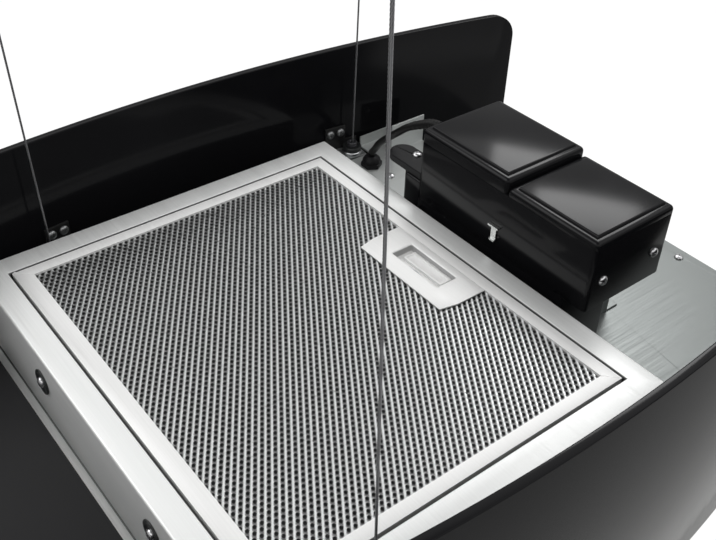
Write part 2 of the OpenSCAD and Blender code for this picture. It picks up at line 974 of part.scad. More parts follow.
module lamp_housings() {
    color("#b9bcbd")
        at_points([for (x = [-lamp_x, lamp_x], y = [-lamp_y, lamp_y]) [x, y]], floor_z - 1.5)
            difference() {
                union() {
                    cylinder(r = lamp_r + lamp_bezel, h = 1.5 - seat, $fn = 2 * fine);
                    cylinder(r = lamp_r, h = lamp_h, $fn = 2 * fine);
                }
                translate([0, 0, -cut])
                    cylinder(r = lamp_r - 3, h = 6 + cut, $fn = 2 * fine);
                translate([0, 0, 6])
                    cylinder(r = lamp_r - 5, h = lamp_h - 8, $fn = 2 * fine);
            }
}

module lamp_lenses() {
    color("#f2f0e6")
        at_points([for (x = [-lamp_x, lamp_x], y = [-lamp_y, lamp_y]) [x, y]], floor_z - 1)
            cylinder(r = lamp_r - 3 - fit, h = 5.5, $fn = 2 * fine);
}

button_w = 16;
button_d = 9;
button_pitch = 30;
button_drop = 2.4;
button_flange = 1;
button_travel = 1.2;
plate_below = 1.5;
board_z = 13;
board_t = 1.6;
button_top = 9.6;

module control_plate() {
    color("#0f0f10")
        translate([outlet_x, control_y, 0])
            difference() {
                union() {
                    translate([0, 0, floor_z - plate_below])
                        linear_extrude(plate_below - seat)
                            plate2d(control_w, control_d);
                    for (side = [-1, 1])
                        translate([side * (control_slot_w / 2 - 4), 0, floor_z - plate_below])
                            cylinder(r = 3, h = board_z - floor_z + plate_below, $fn = fine);
                }
                for (i = [-1 : 1])
                    translate([i * button_pitch, 0, floor_z - plate_below - cut])
                        linear_extrude(plate_below + 2 * cut)
                            plate2d(button_w + 2 * seat, button_d + 2 * seat);
            }
}

module control_board() {
    color("#1f5a3a")
        translate([outlet_x, control_y, board_z]) {
            linear_extrude(board_t)
                plate2d(control_slot_w - 1, control_slot_d - 1);
            for (i = [-1 : 1])
                translate([i * button_pitch, 0, button_top + button_travel + seat - board_z])
                    linear_extrude(board_z - button_top - button_travel - seat + 0.1)
                        plate2d(6, 6);
        }
}

module button(i) {
    color("#e8e8e6")
        translate([outlet_x + i * button_pitch, control_y, floor_z]) {
            translate([0, 0, -plate_below - button_drop])
                linear_extrude(button_top - floor_z + plate_below + button_drop)
                    plate2d(button_w, button_d);
            linear_extrude(button_flange)
                plate2d(button_w + 3, button_d + 3);
        }
}

module button_light() {
    button(-1);
}

module button_speed() {
    button(0);
}

module button_power() {
    button(1);
}

// Electronics box on the deck, right of the outlet frame

low_front = -83;        // near end of the box's lower body
low_back = 86;
low_w = 51;
rear_x = box_x + 11;    // narrower end of the lower body
rear_back = 99;
low_rear_z = 183;       // top of the lower body behind the box
support_front = -70;
lid_joint = 219;
support_w = 26;
support_foot = 12;
support_back = 50;
support_pts = [for (y = [support_front + 20, support_back - 20]) [box_x + low_w + support_w + 5, y]];
box_screw_in = 13;      // screws in the near face, from the box's sides
box_screw_up = 22.5;    // and from its underside

module box_support() {
    left = box_x + low_w + seat;
    color("#9aa3a0")
        difference() {
            union() {
                block([left, support_front, deck_z], [left + sheet, support_back, box_z - seat]);
                block(
                    [left, support_front, box_z - seat - sheet],
                    [left + support_w, support_back, box_z - seat]
                );
                block(
                    [left, support_front, deck_z],
                    [left + support_w + support_foot, support_back, deck_z + sheet]
                );
                block(
                    [left, support_front, deck_z],
                    [left + support_w, support_front + sheet, box_z - seat]
                );
            }
            at_points(support_pts, deck_z + sheet)
                screw_hole();
        }
}

module box_tub() {
    color("#161617")
        difference() {
            union() {
                block([box_x, box_front, box_z], [box_x + box_w, box_back, lid_joint]);
                block([box_x, low_front, deck_z], [box_x + low_w, box_back, box_z + cut]);
                block([box_x, box_back - cut, deck_z], [box_x + low_w, low_back, low_rear_z]);
                block([rear_x, box_back, deck_z], [box_x + low_w, rear_back, low_rear_z]);
            }
            block(
                [box_x + box_t, box_front + box_t, box_z + box_t],
                [box_x + box_w - box_t, box_back - box_t, lid_joint + cut]
            );
            block(
                [box_x + box_t, low_front + box_t, deck_z + box_t],
                [box_x + low_w - box_t, low_back - box_t, box_z - cut]
            );
            block(
                [box_x + box_t, low_front + box_t, box_z - 2 * cut],
                [box_x + low_w - box_t, box_back - box_t, box_z + box_t + cut]
            );
            at_box_screws()
                tapped_hole(box_t + cut);
            translate([plug_screw[0], plug_screw[1], low_rear_z])
                tapped_hole(plug_screw_len);
        }
}

module lid(y0, y1, top) {
    difference() {
        block([box_x, y0, lid_joint + seat], [box_x + box_w, y1, top]);
        block([box_x + box_t, y0 + box_t, lid_joint], [box_x + box_w - box_t, y1 - box_t, top - box_t]);
    }
}

module lid_low() {
    color("#1b1b1c")
        lid(box_front, lid_split - seat, low_lid_z);
}

module lid_high() {
    color("#18181a")
        difference() {
            lid(lid_split, box_back, high_lid_z);
            translate([lead_start[0], box_back, lead_start[2]])
                rotate([-90, 0, 0])
                    screw_hole(lead_r + fit, box_t + cut);
        }
}

// Screws in the box's near face and in its back end
module at_box_screws() {
    translate([box_x + box_screw_in, box_front, box_z + box_screw_up])
        rotate([90, 0, 0])
            children();
    translate([box_x + box_w - box_screw_in, box_front, box_z + box_screw_up])
        rotate([90, 0, 0])
            children();
}

module box_screws() {
    color("#e0e0e0") {
        at_box_screws()
            screw(box_t + 1);
        translate([plug_screw[0], plug_screw[1], plug_top])
            screw(plug_top - low_rear_z + 6);
    }
}

clip_y = -13.5;
clip_w = 5;
clip_bar = 10;          // length of the clip's upper bar
clip_t = 1;
clip_lip = 1.5;
clip_from = 9;          // from the box's underside to the clip's lower edge
clip_h = 13;

module box_clip() {
    low = box_z + clip_from;
    high = low + clip_h;
    color("#cfd2cf")
        translate([box_x - clip_t - seat, clip_y, 0]) {
            block([0, -clip_w / 2, low], [clip_t, clip_w / 2, high]);
            block([-clip_lip, -clip_w / 2, low], [clip_t, clip_w / 2, low + clip_lip]);
            block([-clip_lip, -clip_bar / 2, high - clip_lip], [clip_t, clip_bar / 2, high]);
        }
}

board_side = 6;
board_end = 14;
board_post_in = 4;
board_post_end = 6;
board_post_r = 2.5;
pcb_up = 4;           // from the tub's floor to the board
pcb_t = 1.6;
pcb_z = box_z + box_t + pcb_up;
pcb_w = box_w - 23;
pcb_d = box_back - box_front - 32;
part_x = 8;
transformer = [30, 32, 23.4];
transformer_y = 20;
relay = [18, 14, 14.4];
relay_y = 70;
relay_pitch = 22;
terminals = [40, 10, 12.4];
terminals_y = 100;

module circuit_board() {
    color("#1f5a3a")
        translate([box_x + box_t + board_side, box_front + board_end, pcb_z]) {
            cube([pcb_w, pcb_d, pcb_t]);
            for (
                x = [board_post_in, pcb_w - board_post_in],
                y = [board_post_end, pcb_d - board_post_end]
            )
                translate([x, y, -pcb_up])
                    cylinder(r = board_post_r, h = pcb_up, $fn = fine);
            translate([part_x, transformer_y, pcb_t])
                cube(transformer);
            for (i = [0, 1])
                translate([part_x + i * relay_pitch, relay_y, pcb_t])
                    cube(relay);
            translate([part_x, terminals_y, pcb_t])
                cube(terminals);
        }
}

capacitor_r = 16;
capacitor_len = 72;
capacitor_front = -50;

module capacitor() {
    color("#c9ccd0")
        translate([box_x + low_w / 2, capacitor_front, deck_z + box_t + capacitor_r])
            rotate([-90, 0, 0])
                cylinder(r = capacitor_r, h = capacitor_len, $fn = 2 * fine);
}

// Mains inlet block behind the box, gland in the deck, and the lead between box and gland

plug_x = box_x + 13;
plug_w = 22;
plug_end = 104;
plug_top = 189;
plug_screw = [box_x + 17.5, 93];
plug_screw_len = 10;
gland_x = box_x + 29;
gland_y = 163;
gland_r = 5;
gland_body = 9.5;
gland_top = 150;
lead_r = 3;
lead_path = [
    [17, 66, 225], [17, 72, 225], [16, 79, 224], [13, 88, 220], [10, 98, 214],
    [9, 106, 207], [10, 114, 200], [11, 122, 193], [13, 130, 186], [15, 138, 178],
    [19, 146, 169], [23, 154, 161], [27, 160, 156], [29, 163, 153], [29, 163, 150]
];
lead_pts = [for (p = lead_path) [box_x + p[0], p[1], p[2]]];
lead_start = lead_pts[0];
lead_sides = 10;

module inlet_block() {
    color("#121213")
        difference() {
            translate([0, 0, low_rear_z])
                linear_extrude(plug_top - low_rear_z) {
                    translate([plug_x - plug_w / 2, box_back + seat])
                        square([plug_w, plug_end - box_back - seat]);
                    translate([plug_x, plug_end])
                        circle(r = plug_w / 2, $fn = fine);
                }
            translate([plug_screw[0], plug_screw[1], plug_top])
                screw_hole(screw_hole_r, plug_top - low_rear_z + cut);
        }
}

module gland() {
    color("#101010")
        translate([gland_x, gland_y, shelf_top]) {
            cylinder(r = gland_body, h = 4, $fn = fine);
            cylinder(r = lead_r + 2, h = gland_top - shelf_top, $fn = fine);
            translate([0, 0, -sheet - 8])
                cylinder(r = gland_r - fit, h = sheet + 9, $fn = fine);
            translate([0, 0, -sheet - 4])
                cylinder(r = gland_body, h = 4, $fn = 6);
        }
}

function unit(v) = v / norm(v);
function tangent(i) =
    i == 0 ? unit(lead_pts[1] - lead_pts[0]) :
    i == len(lead_pts) - 1 ? unit(lead_pts[i] - lead_pts[i - 1]) :
    unit(lead_pts[i + 1] - lead_pts[i - 1]);
function side_dir(t) = unit(cross(t, [1, 0, 0]));
function lead_ring(i) =
    let (t = tangent(i), u = side_dir(t), v = cross(t, u))
    [
        for (k = [0 : lead_sides - 1])
            lead_pts[i] + lead_r * (cos(360 * k / lead_sides) * u + sin(360 * k / lead_sides) * v)
    ];

module lead() {
    n = len(lead_pts);
    m = lead_sides;
    color("#0c0c0c")
        polyhedron(
            points = [for (i = [0 : n - 1]) each lead_ring(i)],
            faces = [
                [for (k = [0 : m - 1]) k],
                [for (k = [0 : m - 1]) n * m - 1 - k],
                for (i = [0 : n - 2], k = [0 : m - 1])
                    [i * m + k, (i + 1) * m + k, i * m + (k + 1) % m],
                for (i = [0 : n - 2], k = [0 : m - 1])
                    [(i + 1) * m + k, (i + 1) * m + (k + 1) % m, i * m + (k + 1) % m]
            ]
        );
}

// Cover over the wiring at the left, and the lamp driver under it

cover_gap = 10.2;
cover_left = 21 - case_half;
cover_h = 20;
cover_y = 155;
cover_t = 1.2;
cover_tab = 12;
cover_right = outlet_left - cover_gap;
cover_mid = (cover_left + cover_right) / 2;
cover_pts = [for (side = [-1, 1]) [cover_mid, side * (cover_y + cover_tab / 2)]];

module left_cover() {
    color("#232324")
        difference() {
            union() {
                block([cover_left, -cover_y, deck_z], [cover_right, cover_y, deck_z + cover_h]);
                for (side = [-1, 1])
                    translate([0, side * (cover_y + cover_tab / 2), deck_z])
                        block(
                            [cover_mid - 10, -cover_tab / 2, 0],
                            [cover_mid + 10, cover_tab / 2, outlet_t]
                        );
            }
            block(
                [cover_left + cover_t, -cover_y + cover_t, deck_z - cut],
                [cover_right - cover_t, cover_y - cover_t, deck_z + cover_h - cover_t]
            );
            at_points(cover_pts, deck_z + outlet_t)
                screw_hole();
        }
}

driver_w = 40;
driver_d = 120;
driver_h = 16;
driver_y = 20;

module lamp_driver() {
    color("#e4e4e2")
        translate([cover_mid - driver_w / 2, driver_y - driver_d / 2, deck_z + seat])
            cube([driver_w, driver_d, driver_h]);
}

// Brackets, grippers, cables and ceiling fittings

module brackets() {
    color("#9fa6a3")
        difference() {
            for (p = hang_pts)
                at_bracket(p)
                    bracket_solid(hang_gap(p) - bow_gap);
            for (p = hang_pts) {
                at_panel_screws(p)
                    screw_hole();
                translate([0, 0, shelf_top])
                    at_bracket(p)
                        screw_hole(stem_r + fit, shelf_t + cut);
            }
            at_bracket_feet()
                screw_hole();
        }
}

module bracket_solid(face) {
    x0 = -bracket_short;
    x1 = bracket_long;
    block([x0, face - shelf_t, shelf_z], [x1, face, leg_top]);
    block([ear_from, face - shelf_t, shelf_z], [x1, face, ear_top]);
    block([x0, -bracket_in, shelf_z], [x1, face, shelf_top]);
    block([x0, -bracket_in, deck_z], [x1, -bracket_in + shelf_t, shelf_top]);
    block([foot_from, -bracket_in, deck_z], [x1, 5, deck_z + shelf_t]);
}

// Corner shelf behind the box: carries the gland, and turns up at the right and at the panel
corner_out = 5;         // how far the shelf reaches past the box's left side
corner_w = 99;
corner_left = box_x - corner_out;
corner_right = corner_left + corner_w;
corner_front = 102;
corner_back = outlet_d / 2;
corner_leg_in = 10;     // from the shelf's front and back edges to its legs
upstand_in = 9.8;       // from the shelf's back edge to the upstand
upstand_y = corner_back - upstand_in;
upstand_w = 37;
upstand_left = corner_right - upstand_w;
upstand_top = 166;
panel_lip_off = 12.2;   // from the right cables to the lip at the panel
panel_lip_w = 32;
panel_lip_left = hang_off + hang_x / 2 + panel_lip_off;
panel_lip_right = panel_lip_left + panel_lip_w;
panel_lip_y = face_y(panel_lip_right) - bow_gap - sheet;
panel_lip_top = 149;
corner_foot = 14;
corner_foot_left = 9;   // from the left leg to the screw in its foot
corner_foot_right = 8;
corner_foot_y = 140;
corner_feet = [
    [corner_left + corner_foot_left, corner_foot_y],
    [corner_right + corner_foot_right, corner_foot_y]
];
corner_screw_in = 36;
corner_screw = [corner_left + corner_screw_in, 139];
upstand_screw_in = 5;
upstand_screw_z = 158;
upstand_screw = [upstand_left + upstand_screw_in, upstand_y, upstand_screw_z];

module at_upstand_screw() {
    translate(upstand_screw)
        rotate([90, 0, 0])
            children();
}

module corner_shelf() {
    low = shelf_top - sheet;
    leg_y = [corner_front + corner_leg_in, corner_back - corner_leg_in];
    color("#8f9794")
        difference() {
            union() {
                block([corner_left, corner_front, low], [corner_right, corner_back, shelf_top]);
                block(
                    [panel_lip_left, corner_back - cut, low],
                    [panel_lip_right, panel_lip_y + sheet, shelf_top]
                );
                block(
                    [panel_lip_left, panel_lip_y, low],
                    [panel_lip_right, panel_lip_y + sheet, panel_lip_top]
                );
                block(
                    [upstand_left, upstand_y, low],
                    [corner_right, upstand_y + sheet, upstand_top]
                );
                block([corner_left, leg_y[0], deck_z], [corner_left + sheet, leg_y[1], shelf_top]);
                block([corner_right - sheet, leg_y[0], deck_z], [corner_right, leg_y[1], shelf_top]);
                block(
                    [corner_left, leg_y[0], deck_z],
                    [corner_left + corner_foot, leg_y[1], deck_z + sheet]
                );
                block(
                    [corner_right - sheet, leg_y[0], deck_z],
                    [corner_right + corner_foot, leg_y[1], deck_z + sheet]
                );
            }
            at_points(corner_feet, deck_z + sheet)
                screw_hole();
            at_points([corner_screw], shelf_top)
                tapped_hole();
            translate([gland_x, gland_y, shelf_top])
                screw_hole(gland_r);
            at_upstand_screw()
                tapped_hole();
        }
}

stem_r = 4;
barrel_r = 8.5;
barrel_h = 7;
nut_r = 6.5;
nut_h = 5;
collar_r = 4.5;
collar_h = 6;
collar_travel = 2;
collar_up = 3.5;
tail = 8;
cup_r = 14;
cup_h = 22;
bush_r = 2.5;

module at_hangs() {
    for (p = hang_pts)
        translate([p[0], p[1], 0])
            children();
}

module grippers() {
    floor_h = barrel_h - collar_h + collar_up - collar_travel - 0.5;
    color("#c2c5c7")
        at_hangs()
            translate([0, 0, shelf_top])
                difference() {
                    union() {
                        cylinder(r = barrel_r, h = barrel_h, $fn = fine);
                        translate([0, 0, -shelf_t - nut_h - 1])
                            cylinder(r = stem_r, h = shelf_t + nut_h + 2, $fn = fine);
                        translate([0, 0, -shelf_t - nut_h - seat])
                            cylinder(r = nut_r, h = nut_h, $fn = 6);
                    }
                    translate([0, 0, floor_h])
                        cylinder(r = collar_r + fit, h = barrel_h, $fn = fine);
                    translate([0, 0, -2 * barrel_h])
                        cylinder(r = bush_r - 1, h = 4 * barrel_h, $fn = fine);
                }
}

module collar(p) {
    color("#3a3c3e")
        translate([p[0], p[1], shelf_top + barrel_h + collar_up - collar_h])
            difference() {
                cylinder(r = collar_r, h = collar_h, $fn = fine);
                translate([0, 0, -cut])
                    cylinder(r = bush_r - 1, h = collar_h + 2 * cut, $fn = fine);
            }
}

module collar_front_left() {
    collar(hang_pts[0]);
}

module collar_front_right() {
    collar(hang_pts[1]);
}

module collar_back_left() {
    collar(hang_pts[2]);
}

module collar_back_right() {
    collar(hang_pts[3]);
}

ferrule_r = 2.4;
ferrule_h = 4;
cup_floor = 3;
cable_rise = ceiling_z - cup_h + cup_floor + seat + ferrule_h - shelf_z;

// Each cable turns about its gripper, so that it leans out by the same angle
module cables() {
    color("#6e7173")
        for (p = hang_pts)
            translate([p[0], p[1], shelf_z])
                rotate([0, p[2] * lean, 0]) {
                    translate([0, 0, -tail])
                        cylinder(r = cable_r, h = cable_rise / cos(lean) + tail, $fn = fine);
                    translate([0, 0, cable_rise / cos(lean) - ferrule_h])
                        cylinder(r = ferrule_r, h = ferrule_h, $fn = fine);
                }
}

function ceiling_shift(p) = p[2] * (ceiling_z - cup_h - shelf_z) * tan(lean);

module at_ceiling() {
    for (p = hang_pts)
        translate([p[0] + ceiling_shift(p), p[1], ceiling_z])
            children();
}

module ceiling_cups() {
    color("#c8cacb")
        at_ceiling()
            difference() {
                translate([0, 0, -cup_h])
                    cylinder(r = cup_r, h = cup_h, $fn = fine);
                translate([0, 0, -cup_h + cup_floor])
                    cylinder(r = cup_r - 2, h = cup_h - 2 * cup_floor, $fn = fine);
                translate([0, 0, -cup_h - cut])
                    cylinder(r = cable_r + 0.3, h = 6, $fn = fine);
                translate([0, 0, -6])
                    cylinder(r = ceiling_hole_r, h = 8, $fn = fine);
            }
}

ceiling_hole_r = 2.6;
ceiling_neck_r = 2.3;
ceiling_screw_r = 2.5;
ceiling_screw_len = 25;
ceiling_head_r = 4.5;
ceiling_head_h = 2.5;

module ceiling_screws() {
    color("#b8b8b8")
        at_ceiling() {
            translate([0, 0, -cup_floor - ceiling_head_h])
                cylinder(r = ceiling_head_r, h = ceiling_head_h, $fn = fine);
            translate([0, 0, -cup_floor - cut])
                cylinder(r = ceiling_neck_r, h = cup_floor + 2 * cut, $fn = fine);
            cylinder(r = ceiling_screw_r, h = ceiling_screw_len, $fn = fine);
        }
}

panel_front();
panel_back();
casing();
deck();
outlet_box();
outlet_frame();
outlet_mesh();
outlet_pack();
latch_plate();
latch_slide();
latch_spring();
carbon_case();
carbon_fill();
carbon_rails();
rail_screws();
plenum();
inlet_ring();
motor_bridge();
motor_stator();
motor_rotor();
motor_shaft();
impeller();
motor_mounts();
motor_bolts();
grease_frame();
grease_mesh();
grease_latch_plate();
grease_slide();
lamp_housings();
lamp_lenses();
control_plate();
control_board();
button_light();
button_speed();
button_power();
box_support();
box_tub();
lid_low();
lid_high();
box_screws();
box_clip();
circuit_board();
capacitor();
inlet_block();
gland();
lead();
left_cover();
lamp_driver();
brackets();
corner_shelf();
sheet_screws();
grippers();
collar_front_left();
collar_front_right();
collar_back_left();
collar_back_right();
cables();
ceiling_cups();
ceiling_screws();
panel_screws();
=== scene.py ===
# %% [markdown]
# A suspended range hood hangs on four thin cables between two bowed black panels. The packed
# CAD model is the frame: every piece made below goes where the CAD says, in metres.

# %% Load the frame
import json
import math

import bmesh
import bpy
from mathutils import Matrix, Vector


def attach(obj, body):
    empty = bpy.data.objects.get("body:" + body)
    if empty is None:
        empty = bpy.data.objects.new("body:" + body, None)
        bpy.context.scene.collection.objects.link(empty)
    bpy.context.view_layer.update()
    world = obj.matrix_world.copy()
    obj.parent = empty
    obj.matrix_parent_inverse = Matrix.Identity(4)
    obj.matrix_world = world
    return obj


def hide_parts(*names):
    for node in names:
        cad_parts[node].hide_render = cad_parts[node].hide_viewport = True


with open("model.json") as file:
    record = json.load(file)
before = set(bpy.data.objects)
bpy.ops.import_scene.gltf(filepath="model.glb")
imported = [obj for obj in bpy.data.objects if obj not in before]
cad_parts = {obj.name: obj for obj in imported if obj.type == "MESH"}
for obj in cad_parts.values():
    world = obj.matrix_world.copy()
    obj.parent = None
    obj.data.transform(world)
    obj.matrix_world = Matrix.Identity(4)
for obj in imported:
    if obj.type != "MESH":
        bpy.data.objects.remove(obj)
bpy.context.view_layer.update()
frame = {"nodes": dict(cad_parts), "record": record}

# %% [markdown]
# The photograph looks down on the hood from its near left. Its camera was worked out from the
# long straight edges of the outlet frame, so it is written here as a place, a turn, a pitch,
# a slight roll and a focal length in pixels of the 716 pixel wide picture.

# %% The camera
PICTURE_WIDTH = 716
FOCAL_PIXELS = 959.433
CAMERA_PLACE = (-0.3014, -0.38943, 0.58624)
TURN, PITCH, ROLL = 0.679302, 0.666004, 0.0321751
SENSOR, NEAREST = 36, 0.01

forward = Vector((
    math.cos(PITCH) * math.sin(TURN), math.cos(PITCH) * math.cos(TURN), -math.sin(PITCH)))
level = Vector((math.cos(TURN), -math.sin(TURN), 0))
upright = level.cross(forward)
right = math.cos(ROLL) * level + math.sin(ROLL) * upright
up = math.cos(ROLL) * upright - math.sin(ROLL) * level

bpy.ops.object.select_all(action="DESELECT")
bpy.ops.object.camera_add()
camera = bpy.context.object
camera.name = "camera"
camera.data.sensor_width = SENSOR
camera.data.lens = FOCAL_PIXELS / PICTURE_WIDTH * SENSOR
camera.data.clip_start = NEAREST
camera.matrix_world = Matrix.Translation(CAMERA_PLACE) @ Matrix(
    (right, up, -forward)).transposed().to_4x4()
bpy.context.scene.camera = camera
print("lens", round(camera.data.lens, 2))

# %% [markdown]
# Sizes are written in millimetres, because a maker thinks in them. Each helper is one thing
# that is also done by hand: pick one object, open it, pick faces or edges by where they lie. An
# operator acts on all that is selected, so each helper selects first.

# %% Helpers for picking
MM = 0.001
UP = (0, 0, 1)


def deselect():
    bpy.ops.object.select_all(action="DESELECT")


def only(obj):
    """Selects one object and makes it the active one."""
    deselect()
    obj.select_set(True)
    bpy.context.view_layer.objects.active = obj


def settled(name):
    """Names the active object and moves its place into its mesh."""
    obj = bpy.context.object
    obj.name = name
    bpy.ops.object.transform_apply(location=True, rotation=True, scale=True)
    return obj


def moved(obj, step):
    """Moves a piece's mesh by a step, its origin staying where it was."""
    only(obj)
    obj.location = Vector(step) * MM
    return settled(obj.name)


def opened(obj, kind):
    """Opens edit mode for one kind of element, with nothing selected."""
    only(obj)
    bpy.ops.object.mode_set(mode="EDIT")
    bpy.ops.mesh.select_mode(type=kind)
    bpy.ops.mesh.select_all(action="DESELECT")
    return bmesh.from_edit_mesh(obj.data)


def opened_whole(obj):
    """Opens edit mode with everything selected."""
    only(obj)
    bpy.ops.object.mode_set(mode="EDIT")
    bpy.ops.mesh.select_all(action="SELECT")


def done_editing():
    bpy.ops.object.mode_set(mode="OBJECT")


def pick_faces(obj, wanted):
    """Opens edit mode with the faces selected whose middle and normal answer wanted."""
    for face in opened(obj, "FACE").faces:
        face.select_set(bool(wanted(face.calc_center_median() / MM, face.normal)))
    bmesh.update_edit_mesh(obj.data)


def pick_edges(obj, wanted):
    """Opens edit mode with the edges selected whose two ends answer wanted."""
    mesh = opened(obj, "EDGE")
    for edge in mesh.edges:
        a, b = (v.co / MM for v in edge.verts)
        edge.select_set(bool(wanted(a, b)))
    mesh.select_flush_mode()
    bmesh.update_edit_mesh(obj.data)


def is_upright(a, b):
    """Whether an edge climbs, which on a block is one of its four corners."""
    return abs(a.z - b.z) > 1


# %% [markdown]
# The next helpers shape what is picked: push it out, inset it, round it or cut it. A modifier is
# added, given its settings and applied at once, so the mesh holds the real shape.

# %% Helpers for shaping
def push(x, y, z):
    """Extrudes what is selected by a step in millimetres."""
    bpy.ops.mesh.extrude_region_move(
        TRANSFORM_OT_translate={"value": (x * MM, y * MM, z * MM)})


def shift(x, y, z):
    """Moves what is selected by a step in millimetres."""
    bpy.ops.transform.translate(value=(x * MM, y * MM, z * MM))


def inset(width):
    bpy.ops.mesh.inset(thickness=width * MM)


def bevel_edges(width, segments, clamp=False):
    bpy.ops.mesh.bevel(
        offset=width * MM, segments=segments, affect="EDGES", clamp_overlap=clamp)


def face_outward():
    """Turns all that is open so that its faces look out."""
    bpy.ops.mesh.select_all(action="SELECT")
    bpy.ops.mesh.normals_make_consistent(inside=False)


def face_up(obj):
    """Turns a flat shape over if its faces look down."""
    if sum(face.normal.z for face in obj.data.polygons) < 0:
        opened_whole(obj)
        bpy.ops.mesh.flip_normals()
        done_editing()


def cut_along(place, way, clear=False):
    """Cuts all that is open along a plane; clear throws away what lies beyond it."""
    bpy.ops.mesh.select_all(action="SELECT")
    bpy.ops.mesh.bisect(plane_co=Vector(place) * MM, plane_no=way, clear_outer=clear)


def cut_four_sides(left, right, end, clear=False):
    """Cuts all that is open along the sides of a rectangle, each plane facing off the middle."""
    for place in ((left, 0, 0), (right, 0, 0), (0, -end, 0), (0, end, 0)):
        cut_along(place, Vector(place).normalized(), clear)


def modified(obj, kind, **settings):
    """Adds a modifier, gives it its settings and applies it."""
    only(obj)
    modifier = obj.modifiers.new(kind.lower(), kind)
    for name, value in settings.items():
        setattr(modifier, name, value)
    bpy.ops.object.modifier_apply(modifier=modifier.name)


def smooth(obj, angle=40):
    only(obj)
    bpy.ops.object.shade_smooth_by_angle(angle=math.radians(angle))


def rounded(obj, width, segments=3, angle=30):
    """Rounds every edge that turns by more than the angle."""
    modified(
        obj, "BEVEL", width=width * MM, segments=segments, limit_method="ANGLE",
        angle_limit=math.radians(angle))
    smooth(obj)


def cut_out(obj, *cutters):
    """Takes the cutters' shapes out of a piece and throws the cutters away."""
    for cutter in cutters:
        modified(obj, "BOOLEAN", operation="DIFFERENCE", solver="EXACT", object=cutter)
        bpy.data.objects.remove(cutter)


# %% [markdown]
# Most pieces start from a block, a rod or a turned profile. A profile is a half section that is
# drawn point by point and spun round the axis, as on a lathe. Last comes the hand-over of a
# finished piece: it gets its material, and it takes its body from a CAD node.

# %% Helpers for making and handing over
def cube_between(name, low, high):
    """A cube primitive between two corners."""
    deselect()
    middle = [(a + b) / 2 * MM for a, b in zip(low, high)]
    size = [(b - a) * MM for a, b in zip(low, high)]
    bpy.ops.mesh.primitive_cube_add(size=1, location=middle, scale=size)
    return settled(name)


def rod(name, start, end, radius, sides=24):
    """A cylinder primitive between two points, its place in its mesh."""
    deselect()
    a, b = Vector(start) * MM, Vector(end) * MM
    turn = (b - a).to_track_quat("Z", "Y").to_euler()
    bpy.ops.mesh.primitive_cylinder_add(
        vertices=sides, radius=radius * MM, depth=(b - a).length, location=(a + b) / 2, rotation=turn)
    return settled(name)


def joined(name, *objs):
    """Joins several shapes into one piece."""
    only(objs[0])
    for obj in objs[1:]:
        obj.select_set(True)
    bpy.ops.object.join()
    objs[0].name = name
    return objs[0]


def turned(name, profile, steps=24):
    """Draws a half section, given as (radius, height), point by point and spins it round."""
    deselect()
    bpy.ops.mesh.primitive_plane_add(size=1)
    piece = settled(name)
    opened(piece, "VERT")
    bpy.ops.mesh.select_all(action="SELECT")
    bpy.ops.mesh.merge(type="CENTER")
    shift(profile[0][0], 0, profile[0][1])
    for (r0, z0), (r1, z1) in zip(profile, profile[1:]):
        push(r1 - r0, 0, z1 - z0)
    bpy.ops.mesh.select_all(action="SELECT")
    bpy.ops.mesh.spin(steps=steps, angle=2 * math.pi, center=(0, 0, 0), axis=UP)
    bpy.ops.mesh.select_all(action="SELECT")
    bpy.ops.mesh.remove_doubles(threshold=0.005 * MM)
    bpy.ops.mesh.normals_make_consistent(inside=False)
    done_editing()
    smooth(piece, 35)
    return piece


def copied(master):
    """A copy of a shape with its own mesh."""
    only(master)
    bpy.ops.object.duplicate()
    return bpy.context.object


def copy_at(master, name, place, axis=UP, spin_by=0.0):
    """A copy of a shape, its origin at a place and its +Z along an axis."""
    copy = copied(master)
    copy.location = Vector(place) * MM
    aim = Vector(axis).to_track_quat("Z", "Y")
    copy.rotation_mode = "QUATERNION"
    copy.rotation_quaternion = aim @ Matrix.Rotation(spin_by, 3, "Z").to_quaternion()
    return settled(name)


def thrown_away(*masters):
    """Removes the shapes that were only there to be copied."""
    for master in masters:
        bpy.data.objects.remove(master)


slots = {row["node"]: row["material_slot"] for row in frame["record"]["subparts"]}
body_of = {
    node: body for body, nodes in frame["record"]["behaviour"]["bodies"].items() for node in nodes}


def dress(obj, finish, node, stands_for=True):
    """Gives a piece its material and a CAD node's body, and lets it stand for the node."""
    obj.data.materials.clear()
    obj.data.materials.append(finishes[finish])
    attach(obj, body_of[node])
    if stands_for:
        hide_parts(node)
    print(obj.name, len(obj.data.polygons), "faces")


# %% [markdown]
# Four thin wire ropes hold the hood. Each is six strands laid round a core: a small ring of
# points, set off from the axis, is swept up a long helix by the Screw modifier, as a rope
# machine lays wire. Every rope leans outward a little and ends in its cup at the ceiling,
# just above the picture.

# %% The wire ropes
HANG_X, HANG_Y, HANG_OFF, LEAN = 139.8, 191, 16, 1.31
ROPE_FOOT, ROPE_LENGTH, ROPE_TURNS, ROPE_DIAMETER = 130, 400.25, 44, 1.6
STRANDS, STRAND, STRAND_OUT, CORE_SHORT = 6, 0.27, 0.53, 0.3
FERRULE, FERRULE_LONG = 2.4, 4
STEPS_A_TURN = 10
hangs = [(HANG_OFF + sx * HANG_X, sy * HANG_Y, sx) for sy in (-1, 1) for sx in (-1, 1)]


def corner_of(hang):
    """The name of the corner that a rope hangs at."""
    x, y, side = hang
    return ("front" if y < 0 else "back") + ("_left" if side < 0 else "_right")


